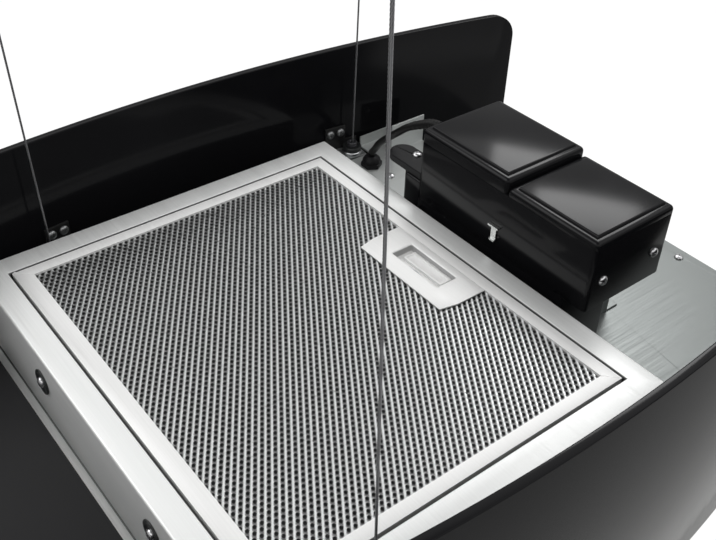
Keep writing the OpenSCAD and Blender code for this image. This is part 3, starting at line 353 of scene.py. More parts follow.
def strand(start):
    """One wire bundle: a ring of points carried up a helix, its two ends closed."""
    deselect()
    place = Matrix.Rotation(start, 3, "Z") @ Vector((STRAND_OUT * MM, 0, 0))
    bpy.ops.mesh.primitive_circle_add(
        vertices=6, radius=STRAND * MM, location=place, rotation=(math.pi / 2, 0, start))
    wire = settled("strand")
    modified(
        wire, "SCREW", axis="Z", angle=2 * math.pi, iterations=ROPE_TURNS,
        screw_offset=(ROPE_LENGTH - FERRULE_LONG / 2) / ROPE_TURNS * MM,
        steps=STEPS_A_TURN, render_steps=STEPS_A_TURN)
    opened_whole(wire)
    bpy.ops.mesh.fill_holes(sides=8)
    face_outward()
    done_editing()
    return wire


def wire_rope():
    wires = [strand(2 * math.pi * i / STRANDS) for i in range(STRANDS)]
    core = rod("core", (0, 0, CORE_SHORT), (0, 0, ROPE_LENGTH - CORE_SHORT), STRAND, 8)
    ferrule = rod("ferrule", (0, 0, ROPE_LENGTH - FERRULE_LONG), (0, 0, ROPE_LENGTH), FERRULE, 20)
    rounded(ferrule, 0.5, 2)
    return joined("rope", *wires, core, ferrule)


master = wire_rope()
ropes = []
for hang in hangs:
    x, y, side = hang
    rope = copied(master)
    rope.location = (x * MM, y * MM, ROPE_FOOT * MM)
    rope.rotation_euler.y = math.radians(side * LEAN)
    ropes.append(settled("rope_" + corner_of(hang)))
    smooth(rope, 60)
thrown_away(master)
print(len(ropes), "ropes of", len(ropes[0].data.polygons), "faces")

# %% [markdown]
# At the ceiling each rope goes through the small mouth of a turned cup, and its ferrule rests
# inside. The cup's half section is drawn point by point, outside and inside, and spun.

# %% The ceiling cups
CEILING, CUP_HIGH, CUP_RADIUS, LEAN_FROM = 545, 22, 14, 138
cup = turned("cup", [
    (1.1, 0), (9, 0), (12.6, 1.2), (CUP_RADIUS, 3.4), (CUP_RADIUS, 20.8), (13.4, 21.4),
    (13.4, CUP_HIGH), (2.6, CUP_HIGH), (2.6, 19), (12, 19), (12, 4.4), (10.6, 3), (1.1, 3),
    (1.1, 0)], 32)
ceiling_shift = (CEILING - CUP_HIGH - LEAN_FROM) * math.tan(math.radians(LEAN))
cups = []
for hang in hangs:
    x, y, side = hang
    place = (x + side * ceiling_shift, y, CEILING - CUP_HIGH)
    cups.append(copy_at(cup, "ceiling_cup_" + corner_of(hang), place))
thrown_away(cup)
print(len(cups), "cups")

# %% [markdown]
# A black lead arches from the box's back wall down into a gland on the corner shelf. Its route
# is the CAD's own line of points, smoothed, and it is drawn as a curve with a round section.
# Where it leaves the box, a ribbed sleeve takes the bend: it tapers down to the jacket.

# %% The lead and its sleeve
LEAD_ROUTE = [
    (144, 66, 225), (144, 72, 225), (143, 79, 224), (140, 88, 220), (137, 98, 214),
    (136, 106, 207), (137, 114, 200), (138, 122, 193), (140, 130, 186), (142, 138, 178),
    (146, 146, 169), (150, 154, 161), (154, 160, 156), (156, 163, 153), (156, 163, 150)]
LEAD_RADIUS = 3
SLEEVE_FROM_Y, SLEEVE_LONG, SLEEVE_STEPS = 69, 26, 8
SLEEVE_WIDE, SLEEVE_TAPER, SLEEVE_RIB = 4.5, 1.2, 0.3


def smoothed(points, steps):
    """A rounded line through the points, with so many stretches between each two."""
    ends = [Vector(points[0])] + [Vector(p) for p in points] + [Vector(points[-1])]
    line = []
    for a, b, c, d in zip(ends, ends[1:], ends[2:], ends[3:]):
        for step in range(steps):
            t = step / steps
            line.append(0.5 * (
                2 * b + (c - a) * t + (2 * a - 5 * b + 4 * c - d) * t * t
                + (3 * b - a - 3 * c + d) * t ** 3))
    return line + [Vector(points[-1])]


def tube(name, line, widths):
    """A curve through the line with a round section of the given radii."""
    curve = bpy.data.curves.new(name, "CURVE")
    curve.dimensions = "3D"
    curve.bevel_depth = LEAD_RADIUS * MM
    curve.bevel_resolution = 4
    curve.use_fill_caps = True
    spline = curve.splines.new("POLY")
    spline.points.add(len(line) - 1)
    for point, place, width in zip(spline.points, line, widths):
        point.co = (*(place * MM), 1)
        point.radius = width / LEAD_RADIUS
    obj = bpy.data.objects.new(name, curve)
    bpy.context.scene.collection.objects.link(obj)
    return obj


def long_of(line):
    return sum((b - a).length for a, b in zip(line, line[1:]))


lead_line = smoothed(LEAD_ROUTE, 3)
lead = tube("box_lead", lead_line, [LEAD_RADIUS] * len(lead_line))
fine_line = smoothed(LEAD_ROUTE, SLEEVE_STEPS)
sleeve_line = [
    p for i, p in enumerate(fine_line)
    if p.y > SLEEVE_FROM_Y and long_of(fine_line[SLEEVE_STEPS:i + 1]) < SLEEVE_LONG]
sleeve_widths = [
    SLEEVE_WIDE - SLEEVE_TAPER * i / (len(sleeve_line) - 1) - (SLEEVE_RIB if i % 3 == 2 else 0)
    for i in range(len(sleeve_line))]
sleeve = tube("lead_sleeve", sleeve_line, sleeve_widths)
only(sleeve)
bpy.ops.object.convert(target="MESH")
smooth(sleeve, 30)
print("lead", round(long_of(lead_line), 1), "mm")

# %% [markdown]
# Every finish is built from nodes. Colours are a little uneven, and roughness and bump come
# from the same stretched noise, so brushed metal shows its grain at the size it has in life.
# One helper adds a node and wires it: an input that is given another node's output is linked,
# and any other input gets a value.

# %% Helpers for finishes
NOISE_ENDS = (0.3, 0.7)


def added(owner, kind, sockets=(), **settings):
    """Adds a shader node to a finish or the world, with its settings, values and links."""
    tree = owner.node_tree
    node = tree.nodes.new("ShaderNode" + kind)
    for name, value in settings.items():
        setattr(node, name, value)
    for socket, value in dict(sockets).items():
        if isinstance(value, bpy.types.NodeSocket):
            tree.links.new(value, node.inputs[socket])
        else:
            node.inputs[socket].default_value = value
    return node


def into(owner, source, socket, node="Principled BSDF"):
    tree = owner.node_tree
    tree.links.new(source, tree.nodes[node].inputs[socket])


def maths(owner, operation, *values):
    """One sum on signals and numbers."""
    node = added(owner, "Math", enumerate(values), operation=operation)
    return node.outputs["Value"]


def place_of(owner, kind="Object"):
    """The three coordinates of a point, one by one."""
    place = added(owner, "TexCoord").outputs[kind]
    return added(owner, "SeparateXYZ", {"Vector": place}).outputs


def base_finish(name, colour, rough, metal=0.0, **sockets):
    """A material whose uniform values sit on the shader's own sockets."""
    finish = bpy.data.materials.new(name)
    finish.use_nodes = True
    shader = finish.node_tree.nodes["Principled BSDF"]
    shader.inputs["Base Color"].default_value = (*colour, 1)
    shader.inputs["Roughness"].default_value = rough
    shader.inputs["Metallic"].default_value = metal
    for socket, value in sockets.items():
        shader.inputs[socket.replace("_", " ")].default_value = value
    finish.diffuse_color = (*colour, 1)
    return finish


def noise_of(finish, stretch, detail=4.0):
    """Noise on object coordinates, with so many grains to the metre along each axis."""
    place = added(finish, "TexCoord").outputs["Object"]
    mapping = added(finish, "Mapping", {"Vector": place, "Scale": stretch})
    noise = added(finish, "TexNoise", {
        "Vector": mapping.outputs["Vector"], "Scale": 1.0, "Detail": detail})
    return noise.outputs["Fac"]


def mapped(finish, source, ends, results=(0.0, 1.0)):
    """Spreads what a signal does between two ends over two results."""
    node = added(finish, "MapRange", {
        "Value": source, "From Min": ends[0], "From Max": ends[1],
        "To Min": results[0], "To Max": results[1]})
    return node.outputs["Result"]


def uneven_colour(finish, noise, colour, spread_by):
    """Lets the noise darken the colour by up to a share."""
    node = added(finish, "ValToRGB", {"Fac": noise})
    for stop, position, share in zip(node.color_ramp.elements, NOISE_ENDS, (1 - spread_by, 1)):
        stop.position = position
        stop.color = (*(c * share for c in colour), 1)
    into(finish, node.outputs["Color"], "Base Color")


def uneven_roughness(finish, noise, low, high):
    into(finish, mapped(finish, noise, NOISE_ENDS, (low, high)), "Roughness")


def bump(finish, source, depth):
    """Relief of so many millimetres."""
    node = added(finish, "Bump", {"Height": source, "Strength": 1.0, "Distance": depth * MM})
    into(finish, node.outputs["Normal"], "Normal")


def brushed(name, colour, rough, grain, spread_by=0.1, depth=0.02, metal=1.0):
    """Sheet metal with fine lines along one axis."""
    finish = base_finish(name, colour, rough, metal)
    lines = noise_of(finish, grain)
    uneven_colour(finish, lines, colour, spread_by)
    uneven_roughness(finish, lines, rough - 0.07, rough + 0.08)
    bump(finish, lines, depth)
    return finish


def moulded(name, colour, rough, depth=0.02, grains=900, spread_by=0.25, **sockets):
    """Plastic, rubber or paint: a fine leathery relief and a slow change of tone."""
    finish = base_finish(name, colour, rough, **sockets)
    tone = noise_of(finish, (14, 14, 14), 2.0)
    uneven_colour(finish, tone, colour, spread_by)
    uneven_roughness(finish, tone, rough * 0.85, rough * 1.2)
    bump(finish, noise_of(finish, (grains, grains, grains), 2.0), depth)
    return finish


# %% [markdown]
# Some finishes change from place to place. The low webs of a mesh get painted shade, the
# outlet's lip gets painted shade where it stands in the gap round the filter, the walls of the
# latch's recess get painted shade that leaves them greyer than its floor, and the brackets are
# painted black above their feet. Each of these is a second colour, mixed in by where a point
# lies on the piece.

# %% Finishes that change with the place
ALONG_X = (14, 1100, 1100)
ALONG_Y = (1100, 14, 1100)
OUTLET_X, OUTLET_TOP, DECK, FLOOR = -33.2, 170, 109, 6
OUTLET_HALF_X, OUTLET_HALF_Y = 150.3, 179.8
OPEN_HALF_X, OPEN_HALF_Y = 132.6, 160.8
MESH_IN, WEB_SHADED, WEB_LIT = 1.3, 0.32, 0.04
LIP_SHADED, LIP_UNSHADED = 0.5, 0.9
WALL_MIDDLE, WALL_SHADED, WALL_UNSHADED = 166.7, 2.0, 2.8
PAINTED_FROM = 141


def second_colour(finish, source, colour):
    """Mixes another colour into the base colour where the source is 0."""
    shader = finish.node_tree.nodes["Principled BSDF"]
    own = shader.inputs["Base Color"].links[0].from_socket
    mix = added(finish, "Mix", {"Factor": source, "A": (*colour, 1), "B": own}, data_type="RGBA")
    into(finish, mix.outputs["Result"], "Base Color")


def reach_of(finish, source, middle):
    """How far a coordinate is from a middle."""
    return maths(finish, "ABSOLUTE", maths(finish, "SUBTRACT", source, middle * MM))


def mesh_finish(name, plane, down):
    """Bright strands over webs darkened by painted shade; down is the way, along z, in which the webs
    are sunk.
    """
    finish = brushed(name, (0.68, 0.69, 0.69), 0.34, (300, 300, 300))
    ends = [(plane + down * depth) * MM for depth in (WEB_SHADED, WEB_LIT)]
    # Painted shade: dark grey is mixed in where the webs sink low, standing for the strands' shadow
    # on them.
    second_colour(finish, mapped(finish, place_of(finish)["Z"], ends), (0.16, 0.16, 0.16))
    return finish


def outlet_finish():
    """Brushed steel with painted shade inside the opening, on the lip in the gap round the filter."""
    finish = brushed("outlet steel", (0.92, 0.93, 0.92), 0.45, ALONG_Y, 0.06, metal=0.5)
    spots = place_of(finish)
    outside = [
        mapped(finish, reach_of(finish, spots[axis], middle),
               ((half + LIP_SHADED) * MM, (half + LIP_UNSHADED) * MM))
        for axis, middle, half in (("X", OUTLET_X, OPEN_HALF_X), ("Y", 0, OPEN_HALF_Y))]
    # Painted shade: near black on the lip and ledge inside the opening.
    second_colour(finish, maths(finish, "MAXIMUM", *outside), (0.05, 0.05, 0.05))
    return finish


def latch_finish(name, walls_shaded):
    """Satin aluminium; on the plate in view, the steep walls of its recess get painted shade."""
    finish = brushed(name, (0.92, 0.92, 0.91), 0.5, ALONG_Y, 0.04, metal=0.3)
    if walls_shaded:
        off = reach_of(finish, place_of(finish)["Z"], WALL_MIDDLE)
        # Painted shade: a mid grey on the recess walls, between the plate's top and its floor.
        second_colour(
            finish, mapped(finish, off, (WALL_SHADED * MM, WALL_UNSHADED * MM)), (0.42, 0.42, 0.42))
    return finish


def bracket_finish():
    """Zinc at the foot, black paint above."""
    finish = brushed("bracket steel", (0.42, 0.43, 0.43), 0.42, (60, 60, 60), 0.25)
    bare = maths(finish, "LESS_THAN", place_of(finish)["Z"], PAINTED_FROM * MM)
    second_colour(finish, bare, (0.012, 0.012, 0.012))
    into(finish, bare, "Metallic")
    return finish


# %% [markdown]
# The finishes of this hood: gloss black lacquer on the panels and the box, pale brushed steel
# on the outlet, duller steel on the deck and brackets, bright zinc screws, black plastics.

# %% The finishes
finishes = {
    "panel": moulded(
        "panel lacquer", (0.007, 0.007, 0.008), 0.12, 0.004, 120, 0.2, Specular_IOR_Level=0.12),
    "casing": moulded(
        "casing paint", (0.012, 0.012, 0.013), 0.45, 0.01, 700, Specular_IOR_Level=0.2),
    "steel": brushed("deck steel", (0.25, 0.265, 0.26), 0.42, ALONG_X),
    "outlet": outlet_finish(),
    "filter": brushed("filter aluminium", (0.94, 0.94, 0.93), 0.5, ALONG_Y, 0.06, metal=0.35),
    "mesh": mesh_finish("mesh aluminium", OUTLET_TOP - MESH_IN, -1),
    "mesh_below": mesh_finish("lower mesh aluminium", FLOOR + MESH_IN, 1),
    "shelf": brushed("shelf steel", (0.60, 0.62, 0.61), 0.45, ALONG_X, metal=0.6),
    "pack": moulded("fleece behind the mesh", (0.010, 0.010, 0.010), 0.85, 0.3, 500),
    "latch": latch_finish("latch aluminium", False),
    "plate": latch_finish("plate aluminium", True),
    "spring": brushed("spring steel", (0.60, 0.60, 0.62), 0.2, (900, 900, 60)),
    "plastic_dark": moulded(
        "dark plastic", (0.010, 0.010, 0.011), 0.42, Specular_IOR_Level=0.2),
    "carbon": moulded("carbon granules", (0.009, 0.009, 0.009), 0.75, 0.8, 420, 0.5),
    "zinc": brushed("galvanised steel", (0.42, 0.43, 0.43), 0.42, (60, 60, 60), 0.25),
    "bracket": bracket_finish(),
    "knob": moulded("black washer", (0.020, 0.022, 0.022), 0.35),
    "copper": brushed("motor windings", (0.45, 0.24, 0.10), 0.35, (40, 40, 1500), 0.3, 0.1),
    "rotor": brushed("rotor steel", (0.16, 0.17, 0.18), 0.35, (40, 40, 1100)),
    "rubber": moulded("rubber", (0.015, 0.015, 0.015), 0.7),
    "screws": brushed("bright zinc", (0.75, 0.75, 0.76), 0.26, (250, 250, 250)),
    "lamp": brushed("lamp aluminium", (0.62, 0.63, 0.64), 0.3, (500, 500, 500)),
    "lens": moulded(
        "frosted lens", (0.95, 0.94, 0.90), 0.35, 0.03, 500, 0.03, Transmission_Weight=0.2),
    "board": moulded("circuit board", (0.02, 0.10, 0.05), 0.4, 0.05, 300),
    "button": moulded("button plastic", (0.75, 0.75, 0.74), 0.2, 0.005, 300, 0.05),
    "box": moulded(
        "box plastic", (0.007, 0.007, 0.008), 0.15, 0.006, 200, 0.2, Specular_IOR_Level=0.16),
    "clip": brushed("clip steel", (0.62, 0.63, 0.62), 0.28, (300, 300, 300)),
    "cord": moulded(
        "cord jacket", (0.007, 0.007, 0.007), 0.4, 0.01, 700, Specular_IOR_Level=0.2),
    "driver": moulded("driver housing", (0.72, 0.72, 0.70), 0.4),
    "gripper": brushed("nickel", (0.62, 0.63, 0.64), 0.16, (500, 500, 500)),
    "collar": moulded("black collar", (0.04, 0.04, 0.045), 0.35),
    "cable": brushed("cable steel", (0.40, 0.40, 0.41), 0.34, (500, 500, 500)),
}
own_finish = {"corner_shelf": "shelf", "brackets": "bracket"}
for node, obj in frame["nodes"].items():
    obj.data.materials.clear()
    obj.data.materials.append(finishes[own_finish.get(node, slots[node])])
print(len(finishes), "finishes on", len(frame["nodes"]), "nodes")

# %% [markdown]
# A pressed or moulded edge is never knife sharp. The CAD nodes that stay in view keep their
# meshes, and two modifiers join their loose triangles and round their edges.

# %% Soft edges on the CAD nodes
SOFT_EDGES = {
    "deck": 0.3, "brackets": 0.5, "corner_shelf": 0.4, "box_support": 0.4, "left_cover": 0.8,
    "box_clip": 0.2, "carbon_rails": 0.3, "motor_bridge": 0.4, "plenum": 0.3,
    "control_plate": 0.4, "inlet_block": 0.8, "lamp_driver": 1.0,
}
for node, width in SOFT_EDGES.items():
    obj = frame["nodes"][node]
    weld = obj.modifiers.new("joined", "WELD")
    weld.merge_threshold = 0.01 * MM
    bevel = obj.modifiers.new("rounding", "BEVEL")
    bevel.width = width * MM
    bevel.segments = 2
    bevel.limit_method = "ANGLE"
    bevel.angle_limit = math.radians(35)
print(len(SOFT_EDGES), "nodes with soft edges")

# %% [markdown]
# The bowed panels are the face of the hood: thick glass or lacquered board with round corners
# and a polished edge. Each starts as a flat slab whose four corners are bevelled round; it is
# cut into strips, its rim is rounded, and its points are moved out onto the arc.

# %% The panels
PANEL_HALF, PANEL_HEIGHT, PANEL_THICK = 325, 236, 6
PANEL_IN, PANEL_RADIUS, PANEL_CORNER, PANEL_EDGE = 211.3, 1318, 22, 0.9
ARC_CENTRE = PANEL_RADIUS - PANEL_IN
STRIP, STRIPS_A_SIDE = 19.5, 15


def panel(name, side):
    slab = cube_between(
        name, (-PANEL_HALF, 0, 0), (PANEL_HALF, PANEL_THICK, PANEL_HEIGHT))
    pick_edges(slab, lambda a, b: abs(a.x - b.x) < 1 and abs(a.z - b.z) < 1)
    bevel_edges(PANEL_CORNER, 10)
    done_editing()
    rounded(slab, PANEL_EDGE, 3, 60)
    opened_whole(slab)
    for step in range(-STRIPS_A_SIDE, STRIPS_A_SIDE + 1):
        cut_along((step * STRIP, 0, 0), (1, 0, 0))
    done_editing()
    for point in slab.data.vertices:
        x, depth = point.co.x / MM, point.co.y / MM
        point.co.y = side * (math.sqrt((PANEL_RADIUS + depth) ** 2 - x * x) - ARC_CENTRE) * MM
    if side < 0:
        opened_whole(slab)
        bpy.ops.mesh.flip_normals()
        done_editing()
    smooth(slab, 30)
    return slab


for name, side in (("front", -1), ("back", 1)):
    dress(panel(name + "_panel", side), "panel", "panel_" + name)

# %% [markdown]
# The outlet frame is one steel sheet folded four times: wall, flat rim, lip down to the filter
# and a ledge that the filter rests on. The fold lines come from insets and extrusions of a
# cube; the bends are bevelled, and Solidify gives the sheet its 1.2 mm. There is no ledge on
# the hinge side, where the filter's pins turn.

# %% The folded outlet frame
SHEET, RIM, LIP, LEDGE, FOOT, BEND = 1.2, 17.7, 11.4, 8, 15.2, 1.6


def inset_then_fit(obj, depth, half_x, half_y):
    """Insets the picked face and brings its rim to an exact half width and half length."""
    inset(depth)
    mesh = bmesh.from_edit_mesh(obj.data)
    corners = [v.co for v in mesh.verts if v.select]
    wide = max(c.x for c in corners) - min(c.x for c in corners)
    long = max(c.y for c in corners) - min(c.y for c in corners)
    bpy.ops.transform.resize(
        value=(2 * half_x * MM / wide, 2 * half_y * MM / long, 1),
        center_override=(OUTLET_X * MM, 0, corners[0].z))


def delete_picked_faces():
    bpy.ops.mesh.delete(type="FACE")
    done_editing()


def solid_sheet(obj, thick):
    """Gives a folded surface its thickness, inward from the face that shows."""
    modified(obj, "SOLIDIFY", thickness=thick * MM, offset=-1, use_even_offset=True)


outlet = cube_between(
    "outlet_shell", (OUTLET_X - OUTLET_HALF_X, -OUTLET_HALF_Y, DECK),
    (OUTLET_X + OUTLET_HALF_X, OUTLET_HALF_Y, OUTLET_TOP))
pick_faces(outlet, lambda middle, normal: normal.z > 0.9)
inset_then_fit(outlet, RIM, OPEN_HALF_X, OPEN_HALF_Y)
push(0, 0, -LIP)
inset_then_fit(outlet, LEDGE, OPEN_HALF_X - LEDGE, OPEN_HALF_Y - LEDGE)
delete_picked_faces()
hinge_ledge = OUTLET_X - OPEN_HALF_X + LEDGE / 2
pick_faces(outlet, lambda middle, normal: (
    abs(middle.x - hinge_ledge) < LEDGE / 4 and normal.z > 0.9 and middle.z < OUTLET_TOP - LIP / 2))
delete_picked_faces()
pick_faces(outlet, lambda middle, normal: normal.z < -0.9)
inset_then_fit(outlet, FOOT, OUTLET_HALF_X - FOOT, OUTLET_HALF_Y - FOOT)
delete_picked_faces()
rounded(outlet, BEND, 4, 60)
solid_sheet(outlet, SHEET)
smooth(outlet, 35)
dress(outlet, "outlet", "outlet_box")

# %% [markdown]
# A thin bright trim lies on the deck along the foot of the outlet's left wall. The photograph
# shows it as a pale line between the wall and the black cover.

# %% The trim at the outlet's foot
STRIP_OUT, STRIP_IN, STRIP_HALF_Y, STRIP_THICK = 6.2, 0.9, 176, 1
outlet_left = OUTLET_X - OUTLET_HALF_X
foot_strip = cube_between(
    "outlet_foot_strip", (outlet_left - STRIP_OUT, -STRIP_HALF_Y, DECK),
    (outlet_left - STRIP_IN, STRIP_HALF_Y, DECK + STRIP_THICK))
rounded(foot_strip, 0.3, 2)
dress(foot_strip, "latch", "outlet_box", stands_for=False)

# %% [markdown]
# A grease or outlet filter is a shallow aluminium frame, mitred at its corners. The ring is an
# inset cube whose two open faces are bridged; a hair-thin groove marks each mitre. The same
# frame is made twice, once turned over for the floor.

# %% The two filter frames
FILTER_HALF_X, FILTER_HALF_Y, FILTER_T, FILTER_RIM = 131, 159.2, 10, 9.2
WINDOW_LEFT, WINDOW_RIGHT = -119, FILTER_HALF_X - FILTER_RIM
WINDOW_Y = FILTER_HALF_Y - FILTER_RIM
MITRE_HALF, MITRE_IN, MITRE_DEEP = 0.12, 0.02, 0.25
PIN_IN, PIN_RADIUS, PIN_LONG = 2.2, 1.5, 2.8


def placed(obj, upside_down):
    """Puts a filter piece, drawn round the origin, in the outlet or turned over in the floor."""
    obj.rotation_euler.x = math.pi if upside_down else 0
    return moved(obj, (OUTLET_X, 0, FLOOR if upside_down else OUTLET_TOP))


def filter_frame(name, upside_down):
    ring = cube_between(
        name, (-FILTER_HALF_X, -FILTER_HALF_Y, -FILTER_T), (FILTER_HALF_X, FILTER_HALF_Y, 0))
    pick_faces(ring, lambda middle, normal: abs(normal.z) > 0.9)
    inset(FILTER_RIM)
    bpy.ops.transform.resize(
        value=((WINDOW_RIGHT - WINDOW_LEFT) / (2 * WINDOW_RIGHT), 1, 1),
        center_override=(0, 0, 0))
    shift((WINDOW_LEFT + WINDOW_RIGHT) / 2, 0, 0)
    bpy.ops.mesh.bridge_edge_loops()
    done_editing()
    pick_edges(ring, lambda a, b: abs(a.x - b.x) > 5 and abs(a.y - b.y) > 5)
    bevel_edges(MITRE_HALF, 1)
    done_editing()
    pick_faces(ring, lambda middle, normal: (
        abs(normal.z) > 0.9 and abs(middle.x) > -WINDOW_LEFT - 1 and abs(middle.y) > WINDOW_Y - 1))
    inset(MITRE_IN)
    bpy.ops.mesh.extrude_region_shrink_fatten(
        TRANSFORM_OT_shrink_fatten={"value": -MITRE_DEEP * MM})
    done_editing()
    rounded(ring, 0.7, 3, 60)
    pin_x = PIN_IN - FILTER_HALF_X
    pins = [
        rod(name + "_pin", (pin_x, side * (FILTER_HALF_Y - 1), -PIN_IN),
            (pin_x, side * (FILTER_HALF_Y + PIN_LONG), -PIN_IN), PIN_RADIUS)
        for side in (-1, 1)]
    for pin in pins:
        rounded(pin, 0.3, 2)
    return placed(joined(name, ring, *pins), upside_down)


for kind, upside_down in (("outlet", False), ("grease", True)):
    dress(filter_frame(kind + "_filter_frame", upside_down), "filter", kind + "_frame")

# %% [markdown]
# The mesh is what the eye meets first: thousands of small openings, row after row, each row set
# over by half a step. It is expanded metal: the sheet is slit and pulled, which leaves strands
# that lean. One slanting opening is made in a diamond tile. Its far side is pressed down and
# its near side up, and the webs between two openings are sunk below the strands. Array
# modifiers lay the tiles, and cuts trim the sheet to the frame.

# %% One tile of the expanded mesh
STRAND_DEEP, RIM_LEAN, WEB_SINK = 0.7, 0.12, 0.35
ENDS_SINK, SLOT_REACH = 1.6, 0.56


def diamond(step_x, step_y):
    """A diamond's outline whose slanting sides along the strands are sunk in between."""
    deselect()
    bpy.ops.mesh.primitive_circle_add(vertices=4, radius=1 * MM, rotation=(0, 0, math.pi / 4))
    tile = settled("tile")
    for point, (x, y) in zip(tile.data.vertices, ((0, 1), (-1, 0), (0, -1), (1, 0))):
        point.co = Vector((x * step_x / 2, y * step_y / 2, 0)) * MM
    pick_edges(tile, lambda a, b: (a.x + b.x) * (a.y + b.y) > 0)
    bpy.ops.mesh.subdivide(number_cuts=3)
    done_editing()
    for point in tile.data.vertices:
        if min(abs(point.co.x), abs(point.co.y)) > 0.1 * MM:
            point.co.z = -WEB_SINK * MM
    return tile


def slot_rim(long, wide, turn):
    """An eight-sided slot, one long side pressed down, the other up, its two ends sunk."""
    deselect()
    bpy.ops.mesh.primitive_circle_add(
        vertices=8, radius=long / 2 * MM, rotation=(0, 0, math.pi / 8))
    rim = settled("rim")
    for point in rim.data.vertices:
        point.co.x *= wide / long
        lean = RIM_LEAN * point.co.x * 2 / wide
        point.co.z = -lean - ENDS_SINK * WEB_SINK * abs(point.co.y) / long
    rim.rotation_euler.z = turn
    return moved(rim, (0, 0, 0))


def hole_tile(step_x, step_y, long, wide):
    """A diamond tile of the staggered pattern with one slanting slot and sunken webs."""
    tile = joined("tile", diamond(step_x, step_y), slot_rim(long, wide, -math.atan2(step_x, step_y)))
    opened_whole(tile)
    bpy.ops.mesh.fill()
    bpy.ops.mesh.normals_make_consistent(inside=False)
    done_editing()
    face_up(tile)
    reach = long * SLOT_REACH
    pick_edges(tile, lambda a, b: a.xy.length < reach and b.xy.length < reach)
    push(0, 0, -STRAND_DEEP)
    done_editing()
    return tile


# %% [markdown]
# Two tiles set over by half a step make the pattern's unit. It is laid in columns and then in
# rows; each array joins the points of neighbours. The sheet is then cut along its four sides,
# and the part under the latch's recess is taken out.

# %% The expanded mesh
WINDOW_LAP = 4
RECESS_LEFT, RECESS_RIGHT, RECESS_Y, RECESS_CLEAR = 97.2, 115.2, 24, 2.4


def array_of(obj, count, step):
    """Repeats a shape so many times along one step and keeps the result."""
    modified(
        obj, "ARRAY", use_relative_offset=False, use_constant_offset=True,
        constant_offset_displace=[s * MM for s in step], count=count,
        use_merge_vertices=True, merge_threshold=0.02 * MM)


def expanded_mesh(name, step_x, step_y, slot, upside_down):
    tile = hole_tile(step_x, step_y, *slot)
    sheet = joined(name, tile, moved(copied(tile), (step_x / 2, step_y / 2, 0)))
    left, right = WINDOW_LEFT - WINDOW_LAP, WINDOW_RIGHT + WINDOW_LAP
    end = WINDOW_Y + WINDOW_LAP
    array_of(sheet, math.ceil((right - left) / step_x) + 1, (step_x, 0, 0))
    array_of(sheet, math.ceil(2 * end / step_y) + 1, (0, step_y, 0))
    moved(sheet, (left, -end, -MESH_IN))
    opened_whole(sheet)
    bpy.ops.mesh.remove_doubles(threshold=0.01 * MM)
    cut_four_sides(left, right, end, clear=True)
    done_editing()
    pick_faces(sheet, lambda middle, normal: (
        RECESS_LEFT - RECESS_CLEAR < middle.x < RECESS_RIGHT + RECESS_CLEAR
        and abs(middle.y) < RECESS_Y + RECESS_CLEAR))
    delete_picked_faces()
    return placed(sheet, upside_down)


for kind, steps, slot, finish, upside_down in (
        ("outlet", (4.531, 6.873), (3.15, 2.5), "mesh", False),
        ("grease", (7.2, 10.9), (5.0, 4.0), "mesh_below", True)):
    mesh = expanded_mesh(kind + "_filter_mesh", *steps, slot, upside_down)
    dress(mesh, finish, kind + "_mesh")

# %% [markdown]
# The latch plate lies flush with the filter frame and has a finger recess pressed into it. A
# plane is cut along the recess's sides, the middle cell is pushed down, and both its rims are
# rounded as a press leaves them.

# %% Latch plates
PLATE_LEFT, PLATE_RIGHT, PLATE_Y, PLATE_SLOPE = 82.8, 121.65, 46, 3
RECESS_DEEP, PRESSED, PLATE_T = 6.5, 1.4, 1.0


def latch_plate(name, upside_down):
    deselect()
    bpy.ops.mesh.primitive_plane_add(size=1, location=((PLATE_LEFT + PLATE_RIGHT) / 2 * MM, 0, 0))
    bpy.context.object.scale = ((PLATE_RIGHT - PLATE_LEFT) * MM, 2 * PLATE_Y * MM, 1)
    plate = settled(name)
    opened_whole(plate)
    cut_four_sides(RECESS_LEFT, RECESS_RIGHT, RECESS_Y)
    done_editing()
    for point in plate.data.vertices:
        if point.co.x < (PLATE_LEFT + 1) * MM and abs(point.co.y) > (PLATE_Y - 1) * MM:
            point.co.y *= (PLATE_Y - PLATE_SLOPE) / PLATE_Y
    pick_faces(plate, lambda middle, normal: (
        RECESS_LEFT < middle.x < RECESS_RIGHT and abs(middle.y) < RECESS_Y))
    push(0, 0, -RECESS_DEEP)
    face_outward()
    done_editing()
    face_up(plate)
    rounded(plate, PRESSED, 4, 60)
    solid_sheet(plate, PLATE_T)
    rounded(plate, 0.2, 2, 60)
    return placed(plate, upside_down)


# %% [markdown]
# Behind each plate a slide is pulled with one finger: a grip with a shallow dish, and a bolt
# with a chamfered tip that snaps into the frame's wall.

# %% Latch slides
SLIDE_RIGHT, GRIP_WIDE, GRIP_LONG, GRIP_TOP, GRIP_LOW = 115.05, 10.8, 20, -4.4, -6.35
DISH_RIM, DISH_DEEP = 1.8, 0.5
BOLT_TIP, BOLT_HALF, BOLT_LOW, BOLT_HIGH, BOLT_CHAMFER = 135.6, 6, -6.3, -4.5, 1.2


def latch_slide(name, upside_down):
    grip = cube_between(
        name, (SLIDE_RIGHT - GRIP_WIDE, -GRIP_LONG, GRIP_LOW), (SLIDE_RIGHT, GRIP_LONG, GRIP_TOP))
    pick_faces(grip, lambda middle, normal: normal.z > 0.9)
    inset(DISH_RIM)
    push(0, 0, -DISH_DEEP)
    done_editing()
    rounded(grip, 0.4, 2, 60)
    bolt = cube_between(
        "bolt", (SLIDE_RIGHT - 1, -BOLT_HALF, BOLT_LOW), (BOLT_TIP, BOLT_HALF, BOLT_HIGH))
    pick_edges(bolt, lambda a, b: min(a.x, b.x) > BOLT_TIP - 1 and min(a.z, b.z) > BOLT_HIGH - 0.5)
    bevel_edges(BOLT_CHAMFER, 2)
    done_editing()
    rounded(bolt, 0.15, 2, 50)
    return placed(joined(name, grip, bolt), upside_down)


